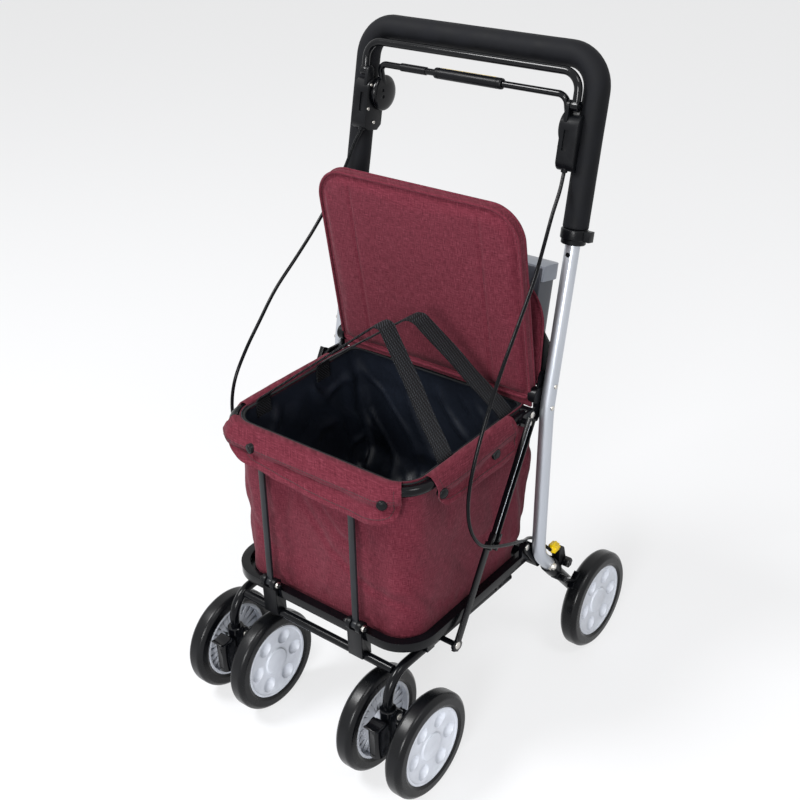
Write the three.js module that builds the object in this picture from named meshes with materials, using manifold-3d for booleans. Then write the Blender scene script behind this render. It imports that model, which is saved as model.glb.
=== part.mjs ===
// Folding shopping rollator: an aluminium rear frame with a height-adjustable handle, a folding
// base with twin front casters, a hinged seat ring that carries a cloth bag, and a padded seat lid.
// Millimetres, +Z up, front casters towards -Y, the person who walks with it stands at +Y.
// Left and right are that person's, so left is +X.

import * as THREE from 'three';
import { mergeVertices } from 'three/addons/utils/BufferGeometryUtils.js';
import Module from 'manifold-3d';

const wasm = await Module();
wasm.setup();

// Overall layout
const halfWheelbase = 201.5;
const rearHalfTrack = 210;
const casterHalfTrack = 145;
const casterTrail = 25;
const casterHalfSpacing = 43;

// Fits and clearances
const touchGap = 0.3;
const turnGap = 0.4;
const cutOverrun = 2;
const weldDistance = 0.001;

// Wheels
const wheelRadius = 78;
const wheelWidth = 28;
const tyreDepth = 20;
const tyreShoulder = 5;
const hubRimWidth = 24;
const hubRimWall = 4.5;
const hubDiscThickness = 6;
const hubDish = 2.5;
const hubCapRadius = 20;
const hubCapStep = 1.5;
const hubBossRadius = 14;
const axleRadius = 5;
const dimpleRadius = 7.5;
const dimpleDepth = 3;
const dimpleCircleRadius = 38;
const dimpleCount = 6;
const dimpleSides = 6;

// Rear frame tubes
const rearTubeX = 186;
const rearTubeRadius = 10;
const rearTubeWall = 1.5;
const heelY = 76;
const heelZ = 228;
const heelBend = 55;
const kneeY = 89;
const kneeZ = 465;
const kneeBend = 160;
const gripCentreY = 196;
const gripCentreZ = 920;
const rearTubeTail = 58;
const innerTubeReach = 345;
const crossTubeRadius = 9;
const crossTubeBehind = 20;
const crossTubeBelow = 29;
const screwHeadRadius = 4;
const screwHeadRise = 2;
const screwLowHeight = 5;
const screwHighHeight = 36;
const adjustHoleRadius = 3.4;
const adjustHoleDepth = 3;
const adjustHoleBelowCollar = 16;

// Handle
const handleRadius = 12.6;
const handleBend = 42;
const foamRadius = 17;
const handleBottomHeight = 233;
const foamBottomHeight = 252;
const collarRadius = 18.5;
const collarHeight = 14;
const collarSleeveRadius = 16.5;
const collarTabReach = 7;
const collarTabWidth = 12;

// Brake housings on the handle
const housingBelowGrip = 71.4;
const housingLength = 72;
const housingOuterX = 183;
const housingInnerX = 158;
const housingFront = 29;
const housingBack = 8;
const housingCornerRadius = 6;
const earThickness = 5;
const earRadius = 7;
const camRadius = 25;
const camThickness = 11;
const camBelowTop = 19;
const camDepth = 2;
const camDome = 5;
const camPinRadius = 6;

// Brake bar and parking bar
const brakeBarRadius = 5.5;
const brakeBarBend = 24;
const brakeBarX = 172;
const brakeBarOffset = 22;
const brakePivotRise = 10;
const brakeBarRise = 41;
const brakeEyeRadius = 6.8;
const brakePinRadius = 3;
const parkRodRadius = 4.5;
const parkRodBend = 12;
const parkRodRise = 43;
const parkRodForward = 7;
const parkSleeveRadius = 7.5;
const parkSleeveHalfLength = 55;

// Rear wheel sockets and brakes
const socketRadius = 12.6;
const socketAbove = 14;
const socketArmRadius = 9;
const bossInnerX = 180;
const bossOuterX = 193;
const adjusterX = 187;
const adjusterY = 118;
const adjusterZ = 216;
const adjusterRadius = 8;
const adjusterFlute = 1.3;
const adjusterLength = 12;
const adjusterFlutes = 8;
const bossTopY = 138;
const bossTopZ = 219;
const bossWaistY = 143;
const bossWaistZ = 186;
const knobY = 139;
const knobZ = 181;
const knobRadius = 8;
const knobLength = 10;
const shoePivotY = 118;
const shoePivotZ = 166;
const shoeBarrelRadius = 5.5;
const shoePinRadius = 2.7;
const shoeInnerX = 199.2;
const shoeWidth = 10;
const shoeThickness = 4;
const shoeClearance = 2.2;
const shoeStartDegrees = 119;
const shoeEndDegrees = 138;

// Fold pivots: base and seat ring hinge on the rear frame, the front bars join them
const basePivotY = 64;
const basePivotZ = 243;
const ringPivotY = 70;
const ringPivotZ = 462;
const barFootY = -208;
const barFootZ = 236;
const pivotPinRadius = 4;
const barPinRadius = 3;
const barEyeRadius = 6;
const rivetRise = 2.3;
const pivotEyeRadius = 9;
const bracketThickness = 3;
const bracketInnerX = 172.6;

// Base frame
const baseTubeX = 150;
const baseTubeRadius = 7;
const baseTubeZ = 188;
const baseTubeRearY = 52;
const legBend = 40;
const legBottomZ = 138;
const stemRadius = 5;
const stemLength = 34;
const crossbarY = -204;
const crossbarZ = 185;
const crossbarRadius = 6.5;
const braceRodY = -117;
const braceRodRadius = 4;

// Tray
const trayHalfWidth = 172;
const trayFrontY = -207;
const trayRearY = 87;
const trayCorner = 55;
const trayRearCorner = 12;
const trayBottomZ = 215;
const trayHeight = 14;
const trayRim = 13;
const trayFloor = 3;
const trayEarWidth = 6;
const trayClipWidth = 14;
const trayClipLength = 16;
const trayClipShares = [-0.72, 0.1];

// Front bars and their clamps
const barX = 79;
const barWidth = 9.5;
const barThickness = 4;
const barTipReach = 5;
const clampHalfWidth = 12.5;
const clampEarRadius = 9;
const clampDepth = 20;
const clampBottomZ = 184;
const clampLip = 9;
const clampScrewReach = 7;

// Seat ring
const ringHalfWidth = 165;
const ringFrontY = -190;
const ringCorner = 45;
const ringRadius = 7;
const ringZ = 462;
const barLugThickness = 3;
const barLugFront = 4.6;

// Hinge bracket outline on the rear tube
const bracketTopHeight = 55;
const bracketBottomHeight = -20;
const bracketBackDepth = 1.4;
const bracketBand = 16;
const braceTopY = 48;
const braceTopZ = 463;
const lidPivotY = 82;
const lidPivotZ = 487;
const lidRodRadius = 4;

// Side braces: an open channel above and, inside it, a flat bar below
const braceBarInnerX = 177.2;
const channelDepth = 7;
const channelWidth = 14;
const channelWall = 2;
const channelLengthShare = 0.524;
const braceBarThickness = 4.6;
const braceBarWidth = 9.5;
const braceBarShare = 0.468;
const braceBarTail = 9;
const braceCollarLength = 24;
const braceCollarWall = 4;
const braceCollarRise = 1.6;

// Casters
const forkTopRadius = 12;
const forkTopZ = 137.5;
const forkBottomZ = 66;
const forkHalfWidth = 8;
const forkArmFront = 10;
const forkArmBack = 35;
const forkArmTopZ = 108;
const forkBlockFront = 37;
const forkBlockBack = 14;
const forkBlockHalfWidth = 9;
const forkBlockTopZ = 117;
const forkBossRadius = 10;
const forkBossZ = 124;
const forkBossReach = 13;
const lockThickness = 7;
const lockLip = 4;
const lockDishShare = 0.7;

// Bag
const bagBottomHalfWidth = 155;
const bagTopHalfWidth = 157;
const bagFrontBottomY = -186;
const bagFrontTopY = -181.5;
const bagRearBottomY = 66;
const bagRearTopY = 86;
const bagBulgeY = 101;
const bagLevelShares = [0, 0.3, 0.72, 1];
const bagCorner = 38;
const bagWall = 2.5;
const bagFloorGap = 1;
const mouthZ = 472.5;
const flapThickness = 2.2;
const flapDrop = 52;
const frontFlapOut = 20.5;
const sideFlapOut = 9.6;
const frontFlapHalfWidth = 138;
const sideFlapFront = -147;
const sideFlapRear = 34;

// Carry straps
const strapWidth = 28;
const strapThickness = 1.8;
const strapTopBend = 14;
const strapTailDrop = 36;
const strapRoutes = {
  front: { rightY: -118, leftY: -100, top: [20, -50, 612] },
  rear: { rightY: 8, leftY: 38, top: [50, -22, 618] },
};

// Seat lid
const lidHalfWidth = 169;
const lidLength = 286;
const lidBelowRod = 8;
const lidFrontFace = 9;
const lidThickness = 17;
const lidCorner = 48;
const lidFootCorner = 14;
const lidCrown = 3.5;
const lidEdge = 5;
const lidSeamX = 108;
const lidSeamDepth = 2.2;
const lidLeanDegrees = 7.6;
const padRimShare = 0.45;
const footRowShares = [0, 0.25, 0.6, 1];
const headRowShares = [1, 0.7, 0.4, 0.18, 0.06, 0];

// Back board and back panel
const boardHalfWidth = 175.4;
const boardBottomHeight = 28;
const boardShoulderHeight = 88;
const boardNeckHalfWidth = 152;
const boardNeckHeight = 116;
const boardTopHeight = 180;
const boardTopHalfWidth = 116;
const boardTopDrop = 24;
const boardThickness = 4;
const boardDepth = 4;
const panelHalfWidth = 161;
const panelFootHalfWidth = 171.5;
const panelThickness = 6;
const panelInset = 3;
const panelCrown = 2;
const panelEdge = 3;
const panelFootCorner = 10;
const panelTopCorner = 76;
const panelColumnShares = [-1, -0.975, -0.85, -0.5, 0, 0.5, 0.85, 0.975, 1];

// Caddy on the user's side
const caddyHalfWidth = 142;
const caddyDepth = 50;
const caddyBottomHeight = 76;
const caddyTopHeight = 187;
const caddyWall = 2.5;
const caddyCornerRadius = 20;
const caddyLidThickness = 2.5;
const caddyLidOverhang = 3.5;
const caddyLidSkirt = 18;
const caddyLidArch = 5;

// Cables
const cableRadius = 2.5;
const cableExitX = 169;
const cableExitDepth = 21.8;
const cableEndGap = 2.6;
const cableSides = 6;
const cableSteps = 30;

// The points each cable passes through
const cableRoutes = {
  left: [
    [173, 127, 766], [176.5, 104, 740], [180, 81, 708], [184, 54, 672], [187, 16, 628], [189.5, -30, 573],
    [191.5, -74, 506], [192.5, -99, 452], [193.5, -107, 412], [194.5, -102, 376], [195.5, -84, 345],
    [195.5, -55, 324], [193.5, -16, 303], [188, 22, 283], [178, 52, 264], [172.2, 70, 254.5],
    [171.8, 84, 246], [175.5, 97, 233], [182.5, 104, 223],
  ],
  right: [
    [-173, 131, 768], [-177, 113, 738], [-181, 85, 701], [-186, 48, 662], [-190, 11, 630], [-192, -36, 595],
    [-193, -70, 561], [-194, -103, 526], [-195, -128, 490], [-196, -138, 453], [-196, -136, 415],
    [-195.5, -122, 376], [-195.5, -96, 346], [-195.5, -55, 324], [-193, -16, 305], [-188, 22, 283],
    [-178, 52, 264], [-172.2, 70, 254.5], [-171.8, 84, 246], [-175.5, 97, 233], [-182.5, 104, 223],
  ],
};

// Angles
const quarterTurn = 90;

// Facet counts
const wheelFacets = 20;
const tubeSides = 12;
const thinSides = 8;
const camFacets = 16;
const linkSteps = 3;
const bendSteps = 4;

const up = new THREE.Vector3(0, 0, 1);
const sides = [['left', 1], ['right', -1]];
const rakeAngle = Math.atan2(gripCentreY - kneeY, gripCentreZ - kneeZ);
const gripHeight = Math.hypot(gripCentreY - kneeY, gripCentreZ - kneeZ);
const bracketOuterX = bracketInnerX + bracketThickness;
const braceBarOuterX = braceBarInnerX + braceBarThickness;
const channelInnerX = braceBarOuterX + turnGap;
const channelOuterX = channelInnerX + channelDepth;
const housingTopHeight = gripHeight - housingBelowGrip;
const housingBottomHeight = housingTopHeight - housingLength;
const camHeight = housingTopHeight - camBelowTop;
const brakePivotHeight = housingTopHeight + brakePivotRise;
const brakeBarTopHeight = brakePivotHeight + brakeBarRise;

const part = new THREE.Group();

function finish(color, roughness, metalness) {
  return new THREE.MeshStandardMaterial({ color, roughness, metalness });
}
const silverTube = finish(0xb6bdc4, 0.35, 0.9);
const blackPaint = finish(0x141518, 0.3, 0.2);
const blackPlastic = finish(0x1d1e21, 0.55, 0);
const greyPlastic = finish(0xc6cad0, 0.45, 0);
const caddyPlastic = finish(0x4a4c52, 0.5, 0);
const caddyLidPlastic = finish(0x8f939b, 0.45, 0);
const tyreRubber = finish(0x202125, 0.7, 0);
const gripFoam = finish(0x25262a, 0.85, 0);
const yellowPlastic = finish(0xf0cf00, 0.4, 0);
const zincSteel = finish(0xc3c6c9, 0.3, 1);
const bagCloth = finish(0x7a3442, 0.95, 0);
const webbing = finish(0x17181b, 0.8, 0);

function point(x, y, z) {
  return new THREE.Vector3(x, y, z);
}

// A point on the raked upper tube's axis frame: depth is towards the user, height along the tube
function raked(x, depth, height) {
  const y = kneeY + height * Math.sin(rakeAngle) + depth * Math.cos(rakeAngle);
  const z = kneeZ + height * Math.cos(rakeAngle) - depth * Math.sin(rakeAngle);
  return point(x, y, z);
}

// Solids for joins and cuts
function solidOf(geometry) {
  const bare = geometry.clone();
  bare.deleteAttribute('normal');
  bare.deleteAttribute('uv');
  const merged = mergeVertices(bare, weldDistance);
  const vertProperties = merged.attributes.position.array;
  const triVerts = new Uint32Array(merged.index.array);
  return new wasm.Manifold(new wasm.Mesh({ numProp: 3, vertProperties, triVerts }));
}

function geometryOf(solid) {
  const mesh = solid.getMesh();
  const geometry = new THREE.BufferGeometry();
  geometry.setAttribute('position', new THREE.BufferAttribute(mesh.vertProperties, 3));
  geometry.setIndex(new THREE.BufferAttribute(mesh.triVerts, 1));
  geometry.computeVertexNormals();
  return geometry;
}

function joined(first, ...rest) {
  return geometryOf(rest.reduce((sum, next) => sum.add(solidOf(next)), solidOf(first)));
}

function cut(body, ...tools) {
  return geometryOf(tools.reduce((left, tool) => left.subtract(solidOf(tool)), solidOf(body)));
}

function overlap(first, second) {
  return geometryOf(solidOf(first).intersect(solidOf(second)));
}

// A path extruded exactly through its stations; the section's first axis starts at a hint, or stays
// square to a fixed width direction where one is given
class StationPath extends THREE.Curve {
  constructor(stations, hint, width) {
    super();
    this.stations = stations;
    this.hint = hint;
    this.width = width;
  }

  getPoint(t) {
    return this.stations[Math.round(t * (this.stations.length - 1))].clone();
  }

  getPointAt(t) {
    return this.getPoint(t);
  }

  computeFrenetFrames() {
    const last = this.stations.length - 1;
    const frames = { tangents: [], normals: [], binormals: [] };
    let normal = this.hint.clone();
    for (let i = 0; i <= last; i++) {
      const ahead = this.stations[Math.min(i + 1, last)];
      const behind = this.stations[Math.max(i - 1, 0)];
      const tangent = ahead.clone().sub(behind).normalize();
      if (this.width) normal = this.width.clone().cross(tangent);
      normal = normal.clone().addScaledVector(tangent, -normal.dot(tangent)).normalize();
      frames.tangents.push(tangent);
      frames.normals.push(normal);
      frames.binormals.push(tangent.clone().cross(normal));
    }
    return frames;
  }
}

// Corners rounded to arcs of one bend radius
function bentPath(corners, bend, steps) {
  const stations = [corners[0]];
  for (let i = 1; i < corners.length - 1; i++) {
    const back = corners[i - 1].clone().sub(corners[i]).normalize();
    const ahead = corners[i + 1].clone().sub(corners[i]).normalize();
    const half = back.angleTo(ahead) / 2;
    const inward = back.clone().add(ahead).normalize();
    const centre = corners[i].clone().addScaledVector(inward, bend / Math.sin(half));
    const start = corners[i].clone().addScaledVector(back, bend / Math.tan(half)).sub(centre);
    const end = corners[i].clone().addScaledVector(ahead, bend / Math.tan(half)).sub(centre);
    const sweep = Math.PI - 2 * half;
    for (let k = 0; k <= steps; k++) {
      const share = k / steps;
      const station = centre.clone();
      station.addScaledVector(start, Math.sin((1 - share) * sweep) / Math.sin(sweep));
      station.addScaledVector(end, Math.sin(share * sweep) / Math.sin(sweep));
      stations.push(station);
    }
  }
  stations.push(corners[corners.length - 1]);
  return stations;
}

function ringShape(radius, bore, facets) {
  const circle = (r) => Array.from({ length: facets }, (_, i) => {
    const angle = 2 * Math.PI * i / facets;
    return new THREE.Vector2(r * Math.cos(angle), r * Math.sin(angle));
  });
  const shape = new THREE.Shape(circle(radius));
  if (bore > 0) shape.holes.push(new THREE.Path(circle(bore)));
  return shape;
}

function sweep(shape, stations, hint, width) {
  const extrudePath = new StationPath(stations, hint, width);
  return new THREE.ExtrudeGeometry(shape, { steps: stations.length - 1, extrudePath });
}

function tube(stations, radius, bore, facets = tubeSides, hint = new THREE.Vector3(1, 0, 0)) {
  return sweep(ringShape(radius, bore, facets), stations, hint);
}

function rod(from, to, radius, facets = tubeSides) {
  const along = to.clone().sub(from);
  const geometry = new THREE.CylinderGeometry(radius, radius, along.length(), facets);
  geometry.applyQuaternion(new THREE.Quaternion().setFromUnitVectors(new THREE.Vector3(0, 1, 0),
    along.normalize()));
  const middle = from.clone().add(to).divideScalar(2);
  return geometry.translate(middle.x, middle.y, middle.z);
}

function crossPin(fromX, toX, y, z, radius, facets = tubeSides) {
  return rod(point(fromX, y, z), point(toX, y, z), radius, facets);
}

function block(fromX, toX, fromY, toY, fromZ, toZ) {
  const geometry = new THREE.BoxGeometry(Math.abs(toX - fromX), toY - fromY, toZ - fromZ);
  return geometry.translate((fromX + toX) / 2, (fromY + toY) / 2, (fromZ + toZ) / 2);
}

// A plate whose outline lies in the YZ plane, from one X to another
function sidePlate(outline, fromX, toX) {
  const shape = new THREE.Shape(outline.map(([y, z]) => new THREE.Vector2(y, z)));
  const depth = Math.abs(toX - fromX);
  const geometry = new THREE.ExtrudeGeometry(shape, { depth, bevelEnabled: false });
  const turn = new THREE.Matrix4().makeBasis(point(0, 1, 0), up, point(1, 0, 0));
  return geometry.applyMatrix4(turn).translate(Math.min(fromX, toX), 0, 0);
}

function arcPoints(centreY, centreZ, radius, fromDegrees, toDegrees, steps) {
  return Array.from({ length: steps + 1 }, (_, i) => {
    const angle = THREE.MathUtils.degToRad(fromDegrees + (toDegrees - fromDegrees) * i / steps);
    return [centreY + radius * Math.cos(angle), centreZ + radius * Math.sin(angle)];
  });
}

// A flat link with a round end about each of two points
function link(fromX, toX, firstY, firstZ, secondY, secondZ, radius) {
  const along = THREE.MathUtils.radToDeg(Math.atan2(secondZ - firstZ, secondY - firstY));
  return sidePlate([
    ...arcPoints(secondY, secondZ, radius, along - quarterTurn, along + quarterTurn, linkSteps),
    ...arcPoints(firstY, firstZ, radius, along + quarterTurn, along + 3 * quarterTurn, linkSteps),
  ], fromX, toX);
}

function roundedRect(halfWidth, fromY, toY, frontCorner, rearCorner) {
  const shape = new THREE.Shape();
  shape.absarc(halfWidth - rearCorner, toY - rearCorner, rearCorner, 0, Math.PI / 2);
  shape.absarc(-halfWidth + rearCorner, toY - rearCorner, rearCorner, Math.PI / 2, Math.PI);
  shape.absarc(-halfWidth + frontCorner, fromY + frontCorner, frontCorner, Math.PI, 1.5 * Math.PI);
  shape.absarc(halfWidth - frontCorner, fromY + frontCorner, frontCorner, 1.5 * Math.PI, 2 * Math.PI);
  return shape;
}

function slab(shape, fromZ, toZ, curveSegments = 3) {
  const options = { depth: toZ - fromZ, bevelEnabled: false, curveSegments };
  return new THREE.ExtrudeGeometry(shape, options).translate(0, 0, fromZ);
}

function add(name, geometry, material, parent = part) {
  const mesh = new THREE.Mesh(geometry, material);
  mesh.name = name;
  parent.add(mesh);
  return mesh;
}

// Wheels, modelled about their own centre with the outer face towards +X
function lathed(profile, facets) {
  const points = profile.map(([radius, x]) => new THREE.Vector2(radius, x));
  return new THREE.LatheGeometry(points, facets).rotateZ(-Math.PI / 2);
}

const hubRadius = wheelRadius - tyreDepth;
const hubFace = hubRimWidth / 2;

function tyreGeometry() {
  const half = wheelWidth / 2;
  return lathed([
    [hubRadius, -hubFace],
    [hubRadius + tyreShoulder, -half],
    [wheelRadius - tyreShoulder, -half],
    [wheelRadius - tyreShoulder / 4, -half + tyreShoulder],
    [wheelRadius, 0],
    [wheelRadius - tyreShoulder / 4, half - tyreShoulder],
    [wheelRadius - tyreShoulder, half],
    [hubRadius + tyreShoulder, half],
    [hubRadius, hubFace],
    [hubRadius, -hubFace],
  ], wheelFacets);
}

function hubGeometry() {
  const outer = hubRadius - touchGap;
  const discInner = hubFace - hubDish - hubDiscThickness;
  const bore = axleRadius + turnGap;
  const disc = lathed([
    [0, discInner + hubCapStep],
    [bore, discInner + hubCapStep],
    [bore, -hubFace],
    [hubBossRadius, -hubFace],
    [hubBossRadius, discInner],
    [outer - hubRimWall, discInner],
    [outer - hubRimWall, -hubFace],
    [outer, -hubFace],
    [outer, hubFace],
    [outer - hubRimWall, hubFace],
    [hubCapRadius, hubFace - hubDish],
    [hubCapRadius, hubFace - hubDish + hubCapStep],
    [0, hubFace - hubDish + hubCapStep],
  ], wheelFacets);
  const dimples = Array.from({ length: dimpleCount }, (_, i) => {
    const angle = 2 * Math.PI * (i + 0.5) / dimpleCount;
    const y = dimpleCircleRadius * Math.cos(angle);
    const z = dimpleCircleRadius * Math.sin(angle);
    return crossPin(hubFace - hubDish - dimpleDepth, hubFace + cutOverrun, y, z, dimpleRadius, dimpleSides);
  });
  return cut(disc, ...dimples);
}

function addWheel(name, x, y, outward, parent) {
  const wheel = new THREE.Group();
  wheel.position.set(x, y, wheelRadius);
  wheel.rotation.z = outward > 0 ? 0 : Math.PI;
  parent.add(wheel);
  add(`${name}_tyre`, tyreGeometry(), tyreRubber, wheel);
  add(`${name}_hub`, hubGeometry(), greyPlastic, wheel);
}

// Rear frame tubes: lower tail towards the wheel, heel bend, slight knee bend, raked upper length
function towardsAxle(side, distance) {
  const heel = point(side * rearTubeX, heelY, heelZ);
  const along = point(side * rearTubeX, halfWheelbase, wheelRadius).sub(heel).normalize();
  return heel.addScaledVector(along, distance);
}

function rearTubePath(side) {
  const x = side * rearTubeX;
  const heel = bentPath([
    towardsAxle(side, rearTubeTail),
    point(x, heelY, heelZ),
    point(x, kneeY, kneeZ),
  ], heelBend, bendSteps);
  const knee = bentPath([heel[heel.length - 2], point(x, kneeY, kneeZ), raked(x, 0, innerTubeReach)],
    kneeBend, 2);
  return [...heel.slice(0, -1), ...knee.slice(1)];
}

function rearTube(side) {
  const stations = rearTubePath(side);
  const pipe = tube(stations, rearTubeRadius, rearTubeRadius - rearTubeWall);
  const face = side * (rearTubeX + rearTubeRadius);
  const heads = [screwLowHeight, screwHighHeight].map((height) => {
    const at = raked(face, 0, height);
    return crossPin(at.x - side * rearTubeWall, at.x + side * screwHeadRise, at.y, at.z,
      screwHeadRadius, thinSides);
  });
  const holeHeight = handleBottomHeight - adjustHoleBelowCollar;
  const hole = rod(
    raked(side * rearTubeX, 0, holeHeight),
    raked(side * rearTubeX, -rearTubeRadius - adjustHoleDepth, holeHeight),
    adjustHoleRadius, thinSides);
  return cut(joined(pipe, ...heads), hole);
}

for (const [name, side] of sides) {
  add(`rear_tube_${name}`, rearTube(side), silverTube);
}

// Handle tube in one U, open at both ends so that it slides over the rear tubes
function handlePath(fromHeight) {
  return bentPath([
    raked(rearTubeX, 0, fromHeight),
    raked(rearTubeX, 0, gripHeight),
    raked(-rearTubeX, 0, gripHeight),
    raked(-rearTubeX, 0, fromHeight),
  ], handleBend, bendSteps);
}
const handleHint = raked(0, 1, 0).sub(raked(0, 0, 0));
const handleBore = rearTubeRadius + touchGap;
add('handle_tube', tube(handlePath(handleBottomHeight), handleRadius, handleBore, tubeSides,
  handleHint), blackPaint);
add('handle_foam', tube(handlePath(foamBottomHeight), foamRadius, handleRadius + touchGap, tubeSides,
  handleHint),
  gripFoam);

// Clamp collars at the foot of the handle
function collar(side) {
  const x = side * rearTubeX;
  const ringTop = foamBottomHeight - touchGap;
  const ringFoot = ringTop - collarHeight;
  const sleeveFoot = handleBottomHeight - touchGap - rearTubeWall;
  const ring = rod(raked(x, 0, ringFoot), raked(x, 0, ringTop), collarRadius);
  const sleeve = rod(raked(x, 0, sleeveFoot), raked(x, 0, ringFoot + cutOverrun), collarSleeveRadius);
  const tabFrom = raked(x + side * (collarRadius - cutOverrun), 0, ringFoot + collarHeight / 2);
  const tab = block(0, side * (collarTabReach + cutOverrun), -collarTabWidth / 2, collarTabWidth / 2,
    -collarHeight / 2, collarHeight / 2);
  tab.rotateX(-rakeAngle).translate(tabFrom.x, tabFrom.y, tabFrom.z);
  const bore = rod(raked(x, 0, sleeveFoot + rearTubeWall), raked(x, 0, ringTop + cutOverrun),
    handleRadius + touchGap);
  const through = rod(raked(x, 0, sleeveFoot - cutOverrun), raked(x, 0, ringTop), handleBore);
  return cut(joined(ring, sleeve, tab), bore, through);
}
for (const [name, side] of sides) {
  add(`handle_collar_${name}`, collar(side), blackPlastic);
}

// Brake housings: a saddle in front of each grip tube, with an ear for the brake bar's pivot
function rakedBlock(fromX, toX, fromDepth, toDepth, fromHeight, toHeight) {
  const corners = [[fromDepth, fromHeight], [toDepth, fromHeight], [toDepth, toHeight],
    [fromDepth, toHeight]];
  const outline = corners.map(([depth, height]) => {
    const at = raked(0, depth, height);
    return [at.y, at.z];
  });
  return sidePlate(outline, fromX, toX);
}

function brakeHousing(side) {
  const saddle = rakedBlock(side * housingInnerX, side * housingOuterX, -housingFront, 0,
    housingBottomHeight, housingTopHeight);
  const wingX = rearTubeX - foamRadius - touchGap;
  const wing = rakedBlock(side * housingInnerX, side * wingX, -cutOverrun, housingBack,
    housingBottomHeight + housingCornerRadius, housingTopHeight - housingCornerRadius);
  const pivot = raked(0, -brakeBarOffset, brakePivotHeight);
  const eyeHalf = brakeBarRadius;
  const earOuter = brakeBarX - eyeHalf - touchGap;
  const earInner = earOuter - earThickness;
  const earFoot = raked(0, -brakeBarOffset, housingTopHeight - cutOverrun);
  const ear = joined(
    crossPin(side * earInner, side * earOuter, pivot.y, pivot.z, earRadius),
    rakedBlock(side * earInner, side * earOuter, -brakeBarOffset - earRadius, -brakeBarOffset + earRadius,
      housingTopHeight - cutOverrun, brakePivotHeight));
  const pin = crossPin(side * earInner, side * (brakeBarX + eyeHalf), pivot.y, pivot.z, brakePinRadius,
    thinSides);
  const foamSpace = rod(raked(side * rearTubeX, 0, housingBottomHeight - cutOverrun),
    raked(side * rearTubeX, 0, housingTopHeight + cutOverrun), foamRadius + touchGap, tubeSides);
  const cam = raked(0, camDepth, camHeight);
  const camPin = crossPin(side * (housingInnerX - camThickness / 2), side * (housingInnerX + cutOverrun),
    cam.y, cam.z, camPinRadius, tubeSides);
  return cut(joined(saddle, wing, ear, pin, camPin), foamSpace);
}
for (const [name, side] of sides) {
  add(`brake_housing_${name}`, brakeHousing(side), blackPlastic);
}

// Brake bar: a thin U under the grip, turning on the housings' pins
function brakeBar() {
  const stations = bentPath([
    raked(brakeBarX, -brakeBarOffset, brakePivotHeight),
    raked(brakeBarX, -brakeBarOffset, brakeBarTopHeight),
    raked(-brakeBarX, -brakeBarOffset, brakeBarTopHeight),
    raked(-brakeBarX, -brakeBarOffset, brakePivotHeight),
  ], brakeBarBend, bendSteps);
  const bar = tube(stations, brakeBarRadius, 0, thinSides, handleHint);
  const pivot = raked(0, -brakeBarOffset, brakePivotHeight);
  const eyes = sides.map(([, side]) => crossPin(side * (brakeBarX - brakeBarRadius),
    side * (brakeBarX + brakeBarRadius),
    pivot.y, pivot.z, brakeEyeRadius));
  const bores = sides.map(([, side]) => crossPin(side * (brakeBarX - brakeEyeRadius - cutOverrun),
    side * (brakeBarX + brakeEyeRadius + cutOverrun), pivot.y, pivot.z, brakePinRadius + turnGap,
      thinSides));
  return cut(joined(bar, ...eyes), ...bores);
}
add('brake_bar', brakeBar(), blackPaint);

// Parking bar: a rod between the two cam discs, with a push sleeve in the middle
const camCentre = raked(0, camDepth, camHeight);
const camOuterX = housingInnerX - touchGap;
const camInnerX = camOuterX - camThickness;
const parkRodX = (camOuterX + camInnerX) / 2;

function parkingBar() {
  const topY = camCentre.y - parkRodForward;
  const topZ = camCentre.z + parkRodRise;
  const stations = bentPath([
    point(parkRodX, camCentre.y, camCentre.z),
    point(parkRodX, topY, topZ),
    point(-parkRodX, topY, topZ),
    point(-parkRodX, camCentre.y, camCentre.z),
  ], parkRodBend, bendSteps - 1);
  const bar = tube(stations, parkRodRadius, 0, thinSides, point(0, 1, 0));
  const cams = sides.map(([, side]) => {
    const disc = crossPin(side * (camInnerX + camDome), side * camOuterX, camCentre.y, camCentre.z,
      camRadius,
      camFacets);
    const dome = new THREE.CylinderGeometry(camRadius - camDome, camRadius, camDome, camFacets);
    dome.rotateZ(side * Math.PI / 2).translate(side * (camInnerX + camDome / 2), camCentre.y,
      camCentre.z);
    return joined(disc, dome);
  });
  const bores = sides.map(([, side]) => crossPin(side * (housingInnerX - camThickness / 2 - touchGap),
    side * (camOuterX + cutOverrun), camCentre.y, camCentre.z, camPinRadius + turnGap, tubeSides));
  return cut(joined(bar, ...cams), ...bores);
}
add('parking_bar', parkingBar(), blackPlastic);
add('parking_sleeve', tube([
  point(-parkSleeveHalfLength, camCentre.y - parkRodForward, camCentre.z + parkRodRise),
  point(parkSleeveHalfLength, camCentre.y - parkRodForward, camCentre.z + parkRodRise),
], parkSleeveRadius, parkRodRadius + touchGap, tubeSides, point(0, 1, 0)), blackPlastic);

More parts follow.
